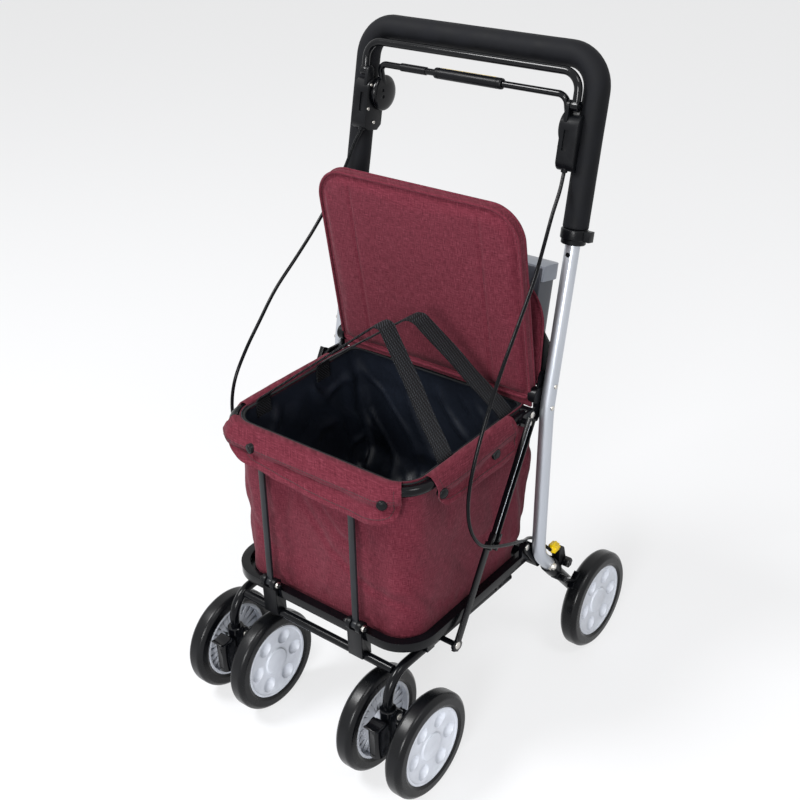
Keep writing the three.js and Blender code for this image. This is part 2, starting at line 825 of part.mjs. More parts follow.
// Rear wheel sockets: a casting on each tube's tail with the axle, the brake boss and a knob
function wheelSocket(side) {
  const x = side * rearTubeX;
  const tail = towardsAxle(side, rearTubeTail);
  const axle = point(x, halfWheelbase, wheelRadius);
  const mouth = towardsAxle(side, rearTubeTail - socketAbove);
  const collarEnd = towardsAxle(side, rearTubeTail + socketAbove);
  const collarPart = rod(mouth, collarEnd, socketRadius);
  const arm = rod(tail, axle, socketArmRadius);
  const axleBoss = crossPin(x - side * socketArmRadius, x + side * socketArmRadius, axle.y, axle.z,
    socketRadius);
  const capInside = rearHalfTrack + hubFace - hubDish - hubDiscThickness + hubCapStep - touchGap;
  const stub = crossPin(x, side * capInside, axle.y, axle.z, axleRadius);
  const boss = sidePlate([
    [adjusterY + adjusterLength / 2 + touchGap, bossTopZ],
    [bossTopY, bossTopZ - adjusterLength],
    [bossWaistY, bossWaistZ],
    [tail.y + 2 * socketArmRadius, tail.z - socketArmRadius],
    [tail.y, tail.z],
    [adjusterY + adjusterLength / 2 + touchGap, bossWaistZ],
  ], side * bossInnerX, side * bossOuterX);
  const knob = crossPin(side * (bossOuterX - cutOverrun), side * (bossOuterX + knobLength), knobY,
    knobZ, knobRadius, 6);
  const shoePin = crossPin(x, side * (shoeInnerX + shoeWidth), shoePivotY, shoePivotZ, shoePinRadius,
    thinSides);
  const shoeBoss = crossPin(x, side * (shoeInnerX - touchGap), shoePivotY, shoePivotZ, shoeBarrelRadius);
  const body = joined(collarPart, arm, axleBoss, stub, boss, knob, shoePin, shoeBoss);
  const bore = rod(towardsAxle(side, rearTubeTail - 2 * socketAbove),
    towardsAxle(side, rearTubeTail + touchGap),
    handleBore);
  const path = rearTubePath(side);
  const tubeSpace = tube(path.slice(0, 4), handleBore, 0);
  return cut(body, bore, tubeSpace);
}

function fluted(side) {
  const outline = Array.from({ length: 2 * adjusterFlutes }, (_, i) => {
    const angle = Math.PI * i / adjusterFlutes;
    const radius = adjusterRadius - (i % 2) * adjusterFlute;
    return new THREE.Vector2(radius * Math.cos(angle), radius * Math.sin(angle));
  });
  const shape = new THREE.Shape(outline);
  const x = side * adjusterX;
  const stations = [
    point(x, adjusterY - adjusterLength / 2, adjusterZ),
    point(x, adjusterY + adjusterLength / 2, adjusterZ),
  ];
  return sweep(shape, stations, point(1, 0, 0));
}

function brakeShoe(side) {
  const inner = wheelRadius + shoeClearance;
  const outer = inner + shoeThickness;
  const pad = [
    ...arcPoints(halfWheelbase, wheelRadius, inner, shoeStartDegrees, shoeEndDegrees, bendSteps),
    ...arcPoints(halfWheelbase, wheelRadius, outer, shoeEndDegrees, shoeStartDegrees, bendSteps),
  ];
  const from = side * shoeInnerX;
  const to = side * (shoeInnerX + shoeWidth);
  const toe = THREE.MathUtils.degToRad((shoeStartDegrees + shoeEndDegrees) / 2);
  const padY = halfWheelbase + (outer - shoeThickness / 2) * Math.cos(toe);
  const padZ = wheelRadius + (outer - shoeThickness / 2) * Math.sin(toe);
  const reach = Math.hypot(padY - shoePivotY, padZ - shoePivotZ);
  const sideY = -(padZ - shoePivotZ) / reach * shoeThickness / 2;
  const sideZ = (padY - shoePivotY) / reach * shoeThickness / 2;
  const arm = sidePlate([
    [shoePivotY - sideY, shoePivotZ - sideZ],
    [padY - sideY, padZ - sideZ],
    [padY + sideY, padZ + sideZ],
    [shoePivotY + sideY, shoePivotZ + sideZ],
  ], from, to);
  const barrel = crossPin(from, to, shoePivotY, shoePivotZ, shoeBarrelRadius);
  const bore = crossPin(from - side * cutOverrun, to + side * cutOverrun, shoePivotY, shoePivotZ,
    shoePinRadius + turnGap, thinSides);
  return cut(joined(sidePlate(pad, from, to), arm, barrel), bore);
}

for (const [name, side] of sides) {
  add(`wheel_socket_${name}`, wheelSocket(side), blackPlastic);
  add(`brake_adjuster_${name}`, fluted(side), yellowPlastic);
  add(`brake_shoe_${name}`, brakeShoe(side), zincSteel);
  addWheel(`rear_wheel_${name}`, side * rearHalfTrack, halfWheelbase, side, part);
}

// Hinge frame: a plate inside each rear tube for the ring and brace, joined by the lid's rod
function hingePlate(side) {
  const inner = side * bracketInnerX;
  const outer = side * bracketOuterX;
  const bandHalf = bracketBand / 2;
  const bandDepth = bracketBackDepth - bandHalf;
  const bandFoot = raked(0, bandDepth, bracketBottomHeight + bandHalf);
  const bandHead = raked(0, bandDepth, bracketTopHeight - bandHalf);
  const band = link(inner, outer, bandFoot.y, bandFoot.z, bandHead.y, bandHead.z, bandHalf);
  const lidEye = crossPin(inner, outer, lidPivotY, lidPivotZ, pivotEyeRadius);
  const ringLink = link(inner, outer, bandFoot.y, ringPivotZ, ringPivotY, ringPivotZ, pivotEyeRadius);
  const braceLink = link(inner, outer, ringPivotY, ringPivotZ, braceTopY, braceTopZ, pivotEyeRadius);
  const ringPin = crossPin(inner, side * (ringHalfWidth - ringRadius), ringPivotY, ringPivotZ,
    pivotPinRadius);
  const braceRivet = crossPin(outer, side * (channelInnerX + channelWall + rivetRise), braceTopY,
    braceTopZ,
    pivotPinRadius, thinSides);
  return joined(band, lidEye, ringLink, braceLink, ringPin, braceRivet);
}
const lidRod = crossPin(-bracketInnerX, bracketInnerX, lidPivotY, lidPivotZ, lidRodRadius);
add('hinge_frame', joined(hingePlate(1), hingePlate(-1), lidRod), blackPaint);

// Base hinge frame: a plate and pin on each rear tube above the tray, joined by a cross tube
const crossTubeZ = heelZ - crossTubeBelow;
const crossTubeY = heelY + crossTubeBehind;

function baseHingePlate(side) {
  const tubeY = heelY + (kneeY - heelY) * (basePivotZ - heelZ) / (kneeZ - heelZ);
  const plate = sidePlate([
    ...arcPoints(basePivotY, basePivotZ, pivotEyeRadius, quarterTurn / 3, 2 * quarterTurn, bendSteps),
    [basePivotY - pivotEyeRadius / 2, basePivotZ - pivotEyeRadius],
    [crossTubeY - crossTubeRadius, crossTubeZ],
    [crossTubeY + crossTubeRadius, crossTubeZ],
    [tubeY + rearTubeRadius / 2, basePivotZ - pivotPinRadius],
  ], side * bracketInnerX, side * bracketOuterX);
  const pin = crossPin(side * bracketInnerX, side * (trayHalfWidth - trayEarWidth - touchGap),
    basePivotY, basePivotZ,
    pivotPinRadius);
  return joined(plate, pin);
}
const crossTube = crossPin(-bracketOuterX, bracketOuterX, crossTubeY, crossTubeZ, crossTubeRadius);
add('base_hinge_frame', joined(baseHingePlate(1), baseHingePlate(-1), crossTube), blackPaint);

// Base: leg tubes that bend from the caster stems under the tray
const casterAxisY = -halfWheelbase - casterTrail;

function baseTube(side) {
  const stations = bentPath([
    point(side * casterHalfTrack, casterAxisY, legBottomZ),
    point(side * casterHalfTrack, casterAxisY, baseTubeZ),
    point(side * baseTubeX, baseTubeRearY, baseTubeZ),
  ], legBend, bendSteps);
  const leg = tube(stations, baseTubeRadius, 0);
  const foot = point(side * casterHalfTrack, casterAxisY, legBottomZ);
  const stem = rod(foot.clone().addScaledVector(up, -stemLength),
    foot.clone().addScaledVector(up, stemRadius), stemRadius);
  const rodHole = crossPin(side * (baseTubeX - 2 * baseTubeRadius),
    side * (baseTubeX + 2 * baseTubeRadius),
    braceRodY, baseTubeZ, braceRodRadius + touchGap, thinSides);
  return cut(joined(leg, stem), rodHole);
}
for (const [name, side] of sides) {
  add(`base_tube_${name}`, baseTube(side), blackPaint);
}
const crossbarHalf = casterHalfTrack - baseTubeRadius - touchGap;
add('front_crossbar', crossPin(-crossbarHalf, crossbarHalf, crossbarY, crossbarZ, crossbarRadius),
  blackPaint);

// Rod through the base tubes that carries the feet of the side braces
const braceRodHalf = braceBarOuterX - touchGap;
add('brace_rod', crossPin(-braceRodHalf, braceRodHalf, braceRodY, baseTubeZ, braceRodRadius), blackPaint);

// Tray: a shallow pan with a wide rim, two hinge ears at the rear and clips over the base tubes
function tray() {
  const outer = roundedRect(trayHalfWidth, trayFrontY, trayRearY, trayCorner, trayRearCorner);
  const inner = roundedRect(trayHalfWidth - trayRim, trayFrontY + trayRim, trayRearY - trayRim,
    trayCorner - trayRim, trayRearCorner - trayRearCorner / 2);
  const pan = cut(slab(outer, trayBottomZ, trayBottomZ + trayHeight),
    slab(inner, trayBottomZ + trayFloor, trayBottomZ + trayHeight + cutOverrun));
  const ears = sides.map(([, side]) => {
    const from = side * (trayHalfWidth - trayEarWidth);
    const to = side * trayHalfWidth;
    return sidePlate([
      ...arcPoints(basePivotY, basePivotZ, pivotEyeRadius, 0, 2 * quarterTurn, bendSteps),
      [basePivotY - pivotEyeRadius, trayBottomZ + trayHeight - cutOverrun],
      [basePivotY + pivotEyeRadius, trayBottomZ + trayHeight - cutOverrun],
    ], from, to);
  });
  const bores = sides.map(([, side]) => crossPin(side * (trayHalfWidth - trayEarWidth - cutOverrun),
    side * (trayHalfWidth + cutOverrun), basePivotY, basePivotZ, pivotPinRadius + turnGap, tubeSides));
  const clips = sides.flatMap(([, side]) => trayClipShares.map((share) => {
    const y = share * halfWheelbase;
    return block(side * baseTubeX - trayClipWidth / 2, side * baseTubeX + trayClipWidth / 2,
      y - trayClipLength / 2, y + trayClipLength / 2, baseTubeZ, trayBottomZ + trayFloor / 2);
  }));
  const tubeSpaces = sides.map(([, side]) => rod(point(side * casterHalfTrack, casterAxisY, baseTubeZ),
    point(side * baseTubeX, baseTubeRearY, baseTubeZ), baseTubeRadius + touchGap));
  return cut(joined(pan, ...ears, ...clips), ...bores, ...tubeSpaces);
}
add('tray', tray(), blackPlastic);

// Clamps that hold the crossbar and carry the feet of the front bars between two ears
const barLeanY = ringPivotY - basePivotY;
const barRiseZ = ringPivotZ - basePivotZ;
const slotHalf = barWidth / 2 + turnGap;

function barClamp(side) {
  const centre = side * barX;
  const from = centre - clampHalfWidth;
  const to = centre + clampHalfWidth;
  const body = block(from, to, crossbarY - clampLip, crossbarY + clampDepth / 2, clampBottomZ,
    trayBottomZ);
  const nose = block(from, to, crossbarY - clampLip, barFootY, clampBottomZ, barFootZ);
  const ear = crossPin(from, to, barFootY, barFootZ, clampEarRadius);
  const slot = block(centre - slotHalf, centre + slotHalf, barFootY - 2 * clampEarRadius,
    barFootY + 2 * clampEarRadius,
    barFootZ - barEyeRadius - turnGap, barFootZ + 2 * clampEarRadius);
  const trayRoom = block(from - cutOverrun, to + cutOverrun, trayFrontY - touchGap, trayRearY,
    trayBottomZ - touchGap, trayBottomZ + trayHeight + touchGap);
  const barSpace = crossPin(from - cutOverrun, to + cutOverrun, crossbarY, crossbarZ,
    crossbarRadius + touchGap);
  const screw = crossPin(from - clampScrewReach, to + clampScrewReach, barFootY, barFootZ, barPinRadius,
    thinSides);
  return joined(cut(joined(body, nose, ear), slot, trayRoom, barSpace), screw);
}

// Flat front bars, bored at foot and top
function frontBar(side) {
  const from = side * barX - barWidth / 2;
  const to = side * barX + barWidth / 2;
  const span = Math.hypot(barLeanY, barRiseZ);
  const blade = block(from, to, -barThickness / 2, barThickness / 2, 0, span + barTipReach);
  const eyes = [0, span].map((z) => crossPin(from, to, 0, z, barEyeRadius, tubeSides));
  const bores = [0, span].map((z) => crossPin(from - cutOverrun, to + cutOverrun, 0, z,
    barPinRadius + turnGap, thinSides));
  const bar = cut(joined(blade, ...eyes), ...bores);
  return bar.rotateX(-Math.atan2(barLeanY, barRiseZ)).translate(0, barFootY, barFootZ);
}

for (const [name, side] of sides) {
  add(`bar_clamp_${name}`, barClamp(side), blackPlastic);
  add(`front_bar_${name}`, frontBar(side), blackPaint);
}

// Seat ring: a U of tube with a flat lug at each rear end
function seatRing() {
  const stations = bentPath([
    point(ringHalfWidth, ringPivotY, ringZ),
    point(ringHalfWidth, ringFrontY, ringZ),
    point(-ringHalfWidth, ringFrontY, ringZ),
    point(-ringHalfWidth, ringPivotY, ringZ),
  ], ringCorner, bendSteps);
  const hoop = tube(stations, ringRadius, 0, tubeSides, up);
  const lugs = sides.map(([, side]) => crossPin(side * (ringHalfWidth - ringRadius),
    side * (ringHalfWidth + ringRadius),
    ringPivotY, ringPivotZ, pivotEyeRadius));
  const barTopY = barFootY + barLeanY;
  const barTopZ = barFootZ + barRiseZ;
  const barLugs = sides.flatMap(([, side]) => [-1, 1].map((edge) => {
    const near = side * barX + edge * slotHalf;
    const far = near + edge * barLugThickness;
    return sidePlate([
      [ringFrontY, ringZ + barEyeRadius],
      [barTopY - barPinRadius, barTopZ + barEyeRadius],
      [barTopY - barLugFront, barTopZ + barPinRadius / 2],
      [barTopY - barLugFront, barTopZ - barPinRadius],
      [barTopY, barTopZ - barEyeRadius],
      [ringFrontY, ringZ - barEyeRadius],
    ], Math.min(near, far), Math.max(near, far));
  }));
  const barPins = sides.map(([, side]) => crossPin(side * barX - slotHalf - barLugThickness,
    side * barX + slotHalf
    + barLugThickness, barTopY, barTopZ, barPinRadius, thinSides));
  const bores = sides.map(([, side]) => crossPin(side * (ringHalfWidth - ringRadius - cutOverrun),
    side * (ringHalfWidth + ringRadius + cutOverrun), ringPivotY, ringPivotZ, pivotPinRadius + turnGap,
      tubeSides));
  return cut(joined(hoop, ...lugs, ...barLugs, ...barPins), ...bores);
}
add('seat_ring', seatRing(), blackPaint);

// Side braces
const braceRise = Math.atan2(braceTopY - braceRodY, braceTopZ - baseTubeZ);
const braceSpan = Math.hypot(braceTopY - braceRodY, braceTopZ - baseTubeZ);
const channelLength = channelLengthShare * braceSpan;
const braceBarReach = braceBarShare * braceSpan;

// A block along the brace: x from one to another, across its width, and from one distance above the
// foot to another
function braceBlock(fromX, toX, halfAcross, from, to) {
  const geometry = block(fromX, toX, -halfAcross, halfAcross, from, to);
  return geometry.rotateX(-braceRise).translate(0, braceRodY, baseTubeZ);
}

// Collar around the channel's foot, which the brake cable passes
function braceCollar(side) {
  const foot = braceSpan - channelLength;
  const from = foot - braceCollarLength / 2;
  const to = foot + braceCollarLength / 2;
  const rail = channelWidth / 2 - channelWall / 2;
  const flanges = [-1, 1].map((edge) => {
    const near = edge * rail;
    const far = edge * (rail + braceCollarWall);
    const geometry = block(side * channelInnerX, side * (channelOuterX + braceCollarRise),
      Math.min(near, far),
      Math.max(near, far), from, to);
    return geometry.rotateX(-braceRise).translate(0, braceRodY, baseTubeZ);
  });
  const web = braceBlock(side * channelInnerX, side * (channelInnerX + channelWall),
    rail + braceCollarWall, from, to);
  return joined(web, ...flanges);
}

function braceChannel(side) {
  const inner = side * channelInnerX;
  const outer = side * channelOuterX;
  const top = braceSpan + channelWidth / 2;
  const shell = braceBlock(inner, outer, channelWidth / 2, braceSpan - channelLength, top);
  const groove = braceBlock(inner + side * channelWall, outer + side * cutOverrun,
    channelWidth / 2 - channelWall,
    braceSpan - channelLength - cutOverrun, top + cutOverrun);
  const bore = crossPin(inner - side * cutOverrun, outer, braceTopY, braceTopZ,
    pivotPinRadius + turnGap, thinSides);
  return joined(cut(shell, groove, bore), braceCollar(side));
}

function braceBar(side) {
  const inner = side * braceBarInnerX;
  const outer = side * braceBarOuterX;
  const blade = braceBlock(inner, outer, braceBarWidth / 2, -braceBarTail, braceBarReach);
  const bore = crossPin(inner - side * cutOverrun, outer + side * cutOverrun, braceRodY, baseTubeZ,
    braceRodRadius + turnGap,
    thinSides);
  const eye = crossPin(inner, outer, braceRodY, baseTubeZ, braceRodRadius + braceBarThickness);
  return cut(joined(blade, eye), bore);
}

for (const [name, side] of sides) {
  add(`brace_channel_${name}`, braceChannel(side), blackPaint);
  add(`brace_bar_${name}`, braceBar(side), blackPaint);
}

// Casters: a fork between twin wheels, turning on the leg tube's stem
function casterFork() {
  const tower = rod(point(0, 0, forkBottomZ), point(0, 0, forkTopZ), forkTopRadius);
  const arm = block(-forkHalfWidth, forkHalfWidth, -forkArmFront, forkArmBack, forkBottomZ, forkArmTopZ);
  const front = block(-forkBlockHalfWidth, forkBlockHalfWidth, -forkBlockFront, -forkBlockBack,
    forkBottomZ, forkBlockTopZ);
  const neck = block(-forkHalfWidth, forkHalfWidth, -forkBlockBack - cutOverrun, 0,
    forkBottomZ + forkHalfWidth,
    forkArmTopZ);
  const boss = crossPin(0, forkBossReach, forkTopRadius / 2, forkBossZ, forkBossRadius);
  const screw = crossPin(forkBossReach - cutOverrun, forkBossReach + screwHeadRise, forkTopRadius / 2,
    forkBossZ,
    screwHeadRadius, thinSides);
  const capInside = casterHalfSpacing + hubFace - hubDish - hubDiscThickness + hubCapStep - touchGap;
  const axle = crossPin(-capInside, capInside, casterTrail, wheelRadius, axleRadius);
  const body = joined(tower, arm, front, neck, boss, screw, axle);
  const bore = rod(point(0, 0, legBottomZ - stemLength - touchGap), point(0, 0, forkTopZ + cutOverrun),
    stemRadius + turnGap);
  return cut(body, bore);
}

function casterLock() {
  const from = -forkBlockFront - lockLip;
  const to = -forkBlockBack - 2 * touchGap;
  const floor = forkBlockTopZ + touchGap;
  return sidePlate([
    [from, floor + lockThickness / 2],
    [-forkBlockFront, floor],
    [to, floor],
    [to, floor + lockThickness],
    [-forkBlockFront, floor + lockThickness * lockDishShare],
    [from, floor + lockThickness],
  ], -forkBlockHalfWidth, forkBlockHalfWidth);
}

for (const [name, side] of sides) {
  const caster = new THREE.Group();
  caster.position.set(side * casterHalfTrack, casterAxisY, 0);
  part.add(caster);
  add(`caster_fork_${name}`, casterFork(), blackPlastic, caster);
  add(`caster_lock_${name}`, casterLock(), blackPlastic, caster);
  addWheel(`caster_${name}_outer`, side * casterHalfSpacing, casterTrail, side, caster);
  addWheel(`caster_${name}_inner`, -side * casterHalfSpacing, casterTrail, -side, caster);
}

// Bag: an open cloth shell inside the ring, with flaps folded out over the ring tube
function bagShell(grow, fromZ, toZ) {
  const rears = [bagRearBottomY, bagBulgeY, bagBulgeY, bagRearTopY];
  const levels = bagLevelShares.map((share) => fromZ + share * (toZ - fromZ));
  const outlines = bagLevelShares.map((share, level) => {
    const half = bagBottomHalfWidth + share * (bagTopHalfWidth - bagBottomHalfWidth);
    const front = bagFrontBottomY + share * (bagFrontTopY - bagFrontBottomY);
    const shape = roundedRect(half - grow, front + grow, rears[level] - grow, bagCorner - grow,
      bagCorner / 2);
    return shape.getPoints(3);
  });
  const positions = [];
  const count = outlines[0].length;
  outlines.forEach((outline, level) => outline.forEach((p) => positions.push(p.x, p.y, levels[level])));
  const foot = count * levels.length;
  positions.push(0, 0, fromZ, 0, 0, toZ);
  const index = [];
  for (let i = 0; i < count; i++) {
    const j = (i + 1) % count;
    for (let low = 0; low < foot - count; low += count) {
      index.push(low + i, low + j, low + count + j, low + i, low + count + j, low + count + i);
    }
    index.push(foot, j, i, foot + 1, foot - count + i, foot - count + j);
  }
  const geometry = new THREE.BufferGeometry();
  geometry.setAttribute('position', new THREE.Float32BufferAttribute(positions, 3));
  geometry.setIndex(index);
  return geometry;
}

const bagFloorZ = trayBottomZ + trayFloor + bagFloorGap;

function bag() {
  const shell = cut(bagShell(0, bagFloorZ, mouthZ), bagShell(bagWall, bagFloorZ + bagWall,
    mouthZ + cutOverrun));
  const lipZ = mouthZ - flapThickness;
  const frontEdge = ringFrontY - frontFlapOut;
  const hemZ = mouthZ - flapDrop;
  const frontTop = block(-frontFlapHalfWidth, frontFlapHalfWidth, frontEdge, bagFrontTopY + bagWall / 2,
    lipZ, mouthZ);
  const frontDrop = block(-frontFlapHalfWidth, frontFlapHalfWidth, frontEdge, frontEdge + flapThickness,
    hemZ, mouthZ);
  const sideFlaps = sides.flatMap(([, side]) => {
    const edge = side * (ringHalfWidth + sideFlapOut);
    const inner = side * (bagTopHalfWidth - bagWall / 2);
    return [
      block(inner, edge, sideFlapFront, sideFlapRear, lipZ, mouthZ),
      block(edge - side * flapThickness, edge, sideFlapFront, sideFlapRear, hemZ + flapThickness, mouthZ),
    ];
  });
  return joined(shell, frontTop, frontDrop, ...sideFlaps);
}
add('bag', bag(), bagCloth);

// Carry straps: two webbing loops that stand up out of the bag and meet above it
const strapFootZ = mouthZ - strapTailDrop;
const strapFootShare = (strapFootZ - bagFloorZ) / (mouthZ - bagFloorZ);
const strapInset = bagBottomHalfWidth + strapFootShare * (bagTopHalfWidth - bagBottomHalfWidth)
  - bagWall - touchGap
  - strapThickness / 2;
for (const [name, { rightY, leftY, top }] of Object.entries(strapRoutes)) {
  const first = [-strapInset, rightY];
  const last = [strapInset, leftY];
  const corners = [
    point(first[0], first[1], strapFootZ),
    point(first[0], first[1], mouthZ),
    point(top[0], top[1], top[2]),
    point(last[0], last[1], mouthZ),
    point(last[0], last[1], strapFootZ),
  ];
  const shape = new THREE.Shape([[-1, -1], [1, -1], [1, 1], [-1, 1]].map(([a, b]) =>
    new THREE.Vector2(a * strapThickness / 2, b * strapWidth / 2)));
  add(`carry_strap_${name}`, sweep(shape, bentPath(corners, strapTopBend, 3), point(1, 0, 0),
    point(0, 1, 0)),
    webbing);
}

// A padded panel about its foot: X across, Z up, front face towards -Y, crowned, with drawn-in edges
// and seams
function padGeometry({ halfAt, length, thickness, crown, edge, seams, seamDepth, rows, columns }) {
  const grid = (sign) => rows.map((rowShare) => {
    const z = rowShare * length;
    const half = halfAt(z);
    return columns.map((columnShare) => {
      const x = columnShare * half;
      const rimShare = Math.min(1, Math.min((half - Math.abs(x)) / edge,
        Math.min(z, length - z) / edge) / 2);
      const swell = Math.sin(Math.PI / 2 * rimShare);
      const seam = seams.some((at) => Math.abs(Math.abs(x) - at) < edge / 2) ? seamDepth * swell : 0;
      const bow = crown * (1 - columnShare * columnShare) * Math.sin(Math.PI * rowShare);
      return [x, sign * (thickness / 2 * (padRimShare + (1 - padRimShare) * swell) + bow - seam), z];
    });
  });
  const front = grid(-1);
  const back = grid(1);
  const positions = [];
  const place = (cell) => positions.push(...cell) / 3 - 1;
  const frontIds = front.map((row) => row.map(place));
  const backIds = back.map((row) => row.map(place));
  const index = [];
  const quad = (a, b, c, d) => index.push(a, b, c, a, c, d);
  const lastRow = rows.length - 1;
  const lastColumn = columns.length - 1;
  for (let r = 0; r < lastRow; r++) {
    for (let c = 0; c < lastColumn; c++) {
      quad(frontIds[r][c], frontIds[r][c + 1], frontIds[r + 1][c + 1], frontIds[r + 1][c]);
      quad(backIds[r][c], backIds[r + 1][c], backIds[r + 1][c + 1], backIds[r][c + 1]);
    }
    quad(frontIds[r][lastColumn], backIds[r][lastColumn], backIds[r + 1][lastColumn],
      frontIds[r + 1][lastColumn]);
    quad(frontIds[r + 1][0], backIds[r + 1][0], backIds[r][0], frontIds[r][0]);
  }
  for (let c = 0; c < lastColumn; c++) {
    quad(frontIds[0][c], backIds[0][c], backIds[0][c + 1], frontIds[0][c + 1]);
    quad(frontIds[lastRow][c + 1], backIds[lastRow][c + 1], backIds[lastRow][c], frontIds[lastRow][c]);
  }
  const geometry = new THREE.BufferGeometry();
  geometry.setAttribute('position', new THREE.Float32BufferAttribute(positions, 3));
  geometry.setIndex(index);
  return geometry;
}

// Half width of a panel at a height, with rounded corners at foot and top
function cornered(footHalf, topHalf, length, footCorner, topCorner) {
  return (z) => {
    const half = footHalf + (topHalf - footHalf) * z / length;
    const corner = z < footCorner ? footCorner : topCorner;
    const into = z < footCorner ? footCorner - z : Math.max(0, z - (length - topCorner));
    return half - corner + Math.sqrt(Math.max(0, corner * corner - into * into));
  };
}

function rowShares(length, footCorner, topCorner, middle) {
  const foot = footRowShares.map((share) => share * footCorner / length);
  const body = Array.from({ length: middle }, (_, i) => (footCorner + (length - footCorner
    - topCorner) * (i + 1)
    / (middle + 1)) / length);
  const head = headRowShares.map((share) => 1 - share * topCorner / length);
  return [...foot, ...body, ...head];
}

function columnShares(half, edge, seamX) {
  const seam = seamX / half;
  const near = edge / half;
  const right = [seam / 2, seam - near, seam, seam + near, (1 + seam) / 2, 1 - 2 * near, 1 - near, 1];
  return [...right.map((share) => -share).reverse(), 0, ...right];
}

const lidPad = {
  halfAt: cornered(lidHalfWidth, lidHalfWidth, lidLength, lidFootCorner, lidCorner),
  length: lidLength,
  thickness: lidThickness,
  crown: lidCrown,
  edge: lidEdge,
  seams: [lidSeamX],
  seamDepth: lidSeamDepth,
  rows: rowShares(lidLength, lidFootCorner, lidCorner, 3),
  columns: columnShares(lidHalfWidth, lidEdge, lidSeamX),
};
const lid = new THREE.Group();
lid.position.set(0, lidPivotY, lidPivotZ);
lid.rotation.x = THREE.MathUtils.degToRad(lidLeanDegrees);
part.add(lid);
const lidRodSleeve = crossPin(-lidHalfWidth - cutOverrun, lidHalfWidth + cutOverrun, 0, 0,
  lidRodRadius + turnGap);
const lidBody = padGeometry(lidPad).translate(0, lidThickness / 2 - lidFrontFace, -lidBelowRod);
add('seat_lid', cut(lidBody, lidRodSleeve), bagCloth, lid);

// Back board between the rear tubes, a padded panel in front of it and a caddy behind
const back = new THREE.Group();
back.position.set(0, kneeY, kneeZ);
back.rotation.x = -rakeAngle;
part.add(back);

const boardRight = [
  [boardHalfWidth, boardBottomHeight],
  [boardHalfWidth, boardShoulderHeight],
  [boardNeckHalfWidth, boardNeckHeight],
  [boardTopHalfWidth, boardTopHeight - boardTopDrop],
  [boardTopHalfWidth - boardTopDrop, boardTopHeight],
];
const boardOutline = [...boardRight, ...boardRight.map(([x, z]) => [-x, z]).reverse()];
const boardShape = new THREE.Shape(boardOutline.map(([x, z]) => new THREE.Vector2(x, z)));
const boardGeometry = new THREE.ExtrudeGeometry(boardShape, { depth: boardThickness,
  bevelEnabled: false });
boardGeometry.rotateX(Math.PI / 2).translate(0, boardDepth + boardThickness / 2, 0);
add('back_board', boardGeometry, blackPlastic, back);

const panelLength = boardTopHeight - boardBottomHeight - 2 * panelInset;
const panelPad = {
  halfAt: cornered(panelFootHalfWidth, panelHalfWidth, panelLength, panelFootCorner, panelTopCorner),
  length: panelLength,
  thickness: panelThickness,
  crown: panelCrown,
  edge: panelEdge,
  seams: [],
  seamDepth: 0,
  rows: rowShares(panelLength, panelFootCorner, panelTopCorner, 2),
  columns: panelColumnShares,
};
const panel = add('back_panel', padGeometry(panelPad), bagCloth, back);
panel.position.set(0, boardDepth - boardThickness / 2 - touchGap - panelThickness / 2 - panelCrown,
  boardBottomHeight + panelInset);

const caddyFront = boardDepth + boardThickness / 2 + touchGap;
const caddyRear = caddyFront + caddyDepth;
function caddyShape(grow, front = caddyFront) {
  const half = caddyHalfWidth + grow;
  const rear = caddyRear + grow;
  const shape = new THREE.Shape();
  shape.moveTo(-half, front);
  shape.lineTo(half, front);
  shape.absarc(half - caddyCornerRadius, rear - caddyCornerRadius, caddyCornerRadius, 0, Math.PI / 2);
  shape.absarc(-half + caddyCornerRadius, rear - caddyCornerRadius, caddyCornerRadius, Math.PI / 2,
    Math.PI);
  return shape;
}
const caddyBody = cut(slab(caddyShape(0), caddyBottomHeight, caddyTopHeight),
  slab(caddyShape(-caddyWall, caddyFront + caddyWall), caddyBottomHeight + caddyWall,
    caddyTopHeight + cutOverrun));
add('caddy', caddyBody, caddyPlastic, back);

// The caddy's lid is arched from its hinge edge at the board to the rear
const lidSkirtZ = caddyTopHeight - caddyLidSkirt;
const lidCrestZ = caddyTopHeight + touchGap + caddyLidThickness;
const lidRearY = caddyRear + caddyLidOverhang;
const lidProfile = sidePlate([
  [caddyFront, lidSkirtZ],
  [lidRearY, lidSkirtZ],
  [lidRearY, lidCrestZ - caddyLidArch],
  [lidRearY - caddyDepth / 4, lidCrestZ + caddyLidArch / 4],
  [caddyFront + caddyDepth / 3, lidCrestZ + caddyLidArch / 2],
  [caddyFront, lidCrestZ],
], -caddyHalfWidth - caddyLidOverhang, caddyHalfWidth + caddyLidOverhang);
const lidHollow = slab(caddyShape(2 * touchGap), lidSkirtZ - cutOverrun,
  caddyTopHeight + touchGap).translate(0, -touchGap, 0);
const lidShell = cut(overlap(slab(caddyShape(caddyLidOverhang), lidSkirtZ, lidCrestZ + caddyLidArch),
  lidProfile),
  lidHollow);
add('caddy_lid', lidShell.translate(0, touchGap, 0), caddyLidPlastic, back);

// Brake cables, held from the housing through the brace collar to the adjuster
for (const [name, side] of sides) {
  const exit = raked(side * cableExitX, -cableExitDepth, housingBottomHeight - cutOverrun);
  const end = point(side * adjusterX, adjusterY - adjusterLength / 2 - cableEndGap, adjusterZ);
  const route = cableRoutes[name].map(([x, y, z]) => point(x, y, z));
  const curve = new THREE.CatmullRomCurve3([exit, ...route, end]);
  add(`brake_cable_${name}`, tube(curve.getSpacedPoints(cableSteps), cableRadius, 0, cableSides), blackPlastic);
}

export default part;
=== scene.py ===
# %% [markdown]
# # A folding shopping rollator
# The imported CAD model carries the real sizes, joints and bodies. This script dresses it: it keeps or
# replaces each CAD piece, gives every surface the finish of the real one, and sets a camera and soft light.
# Lengths are typed in millimetres, as in the CAD, and turned to metres when a mesh is made.

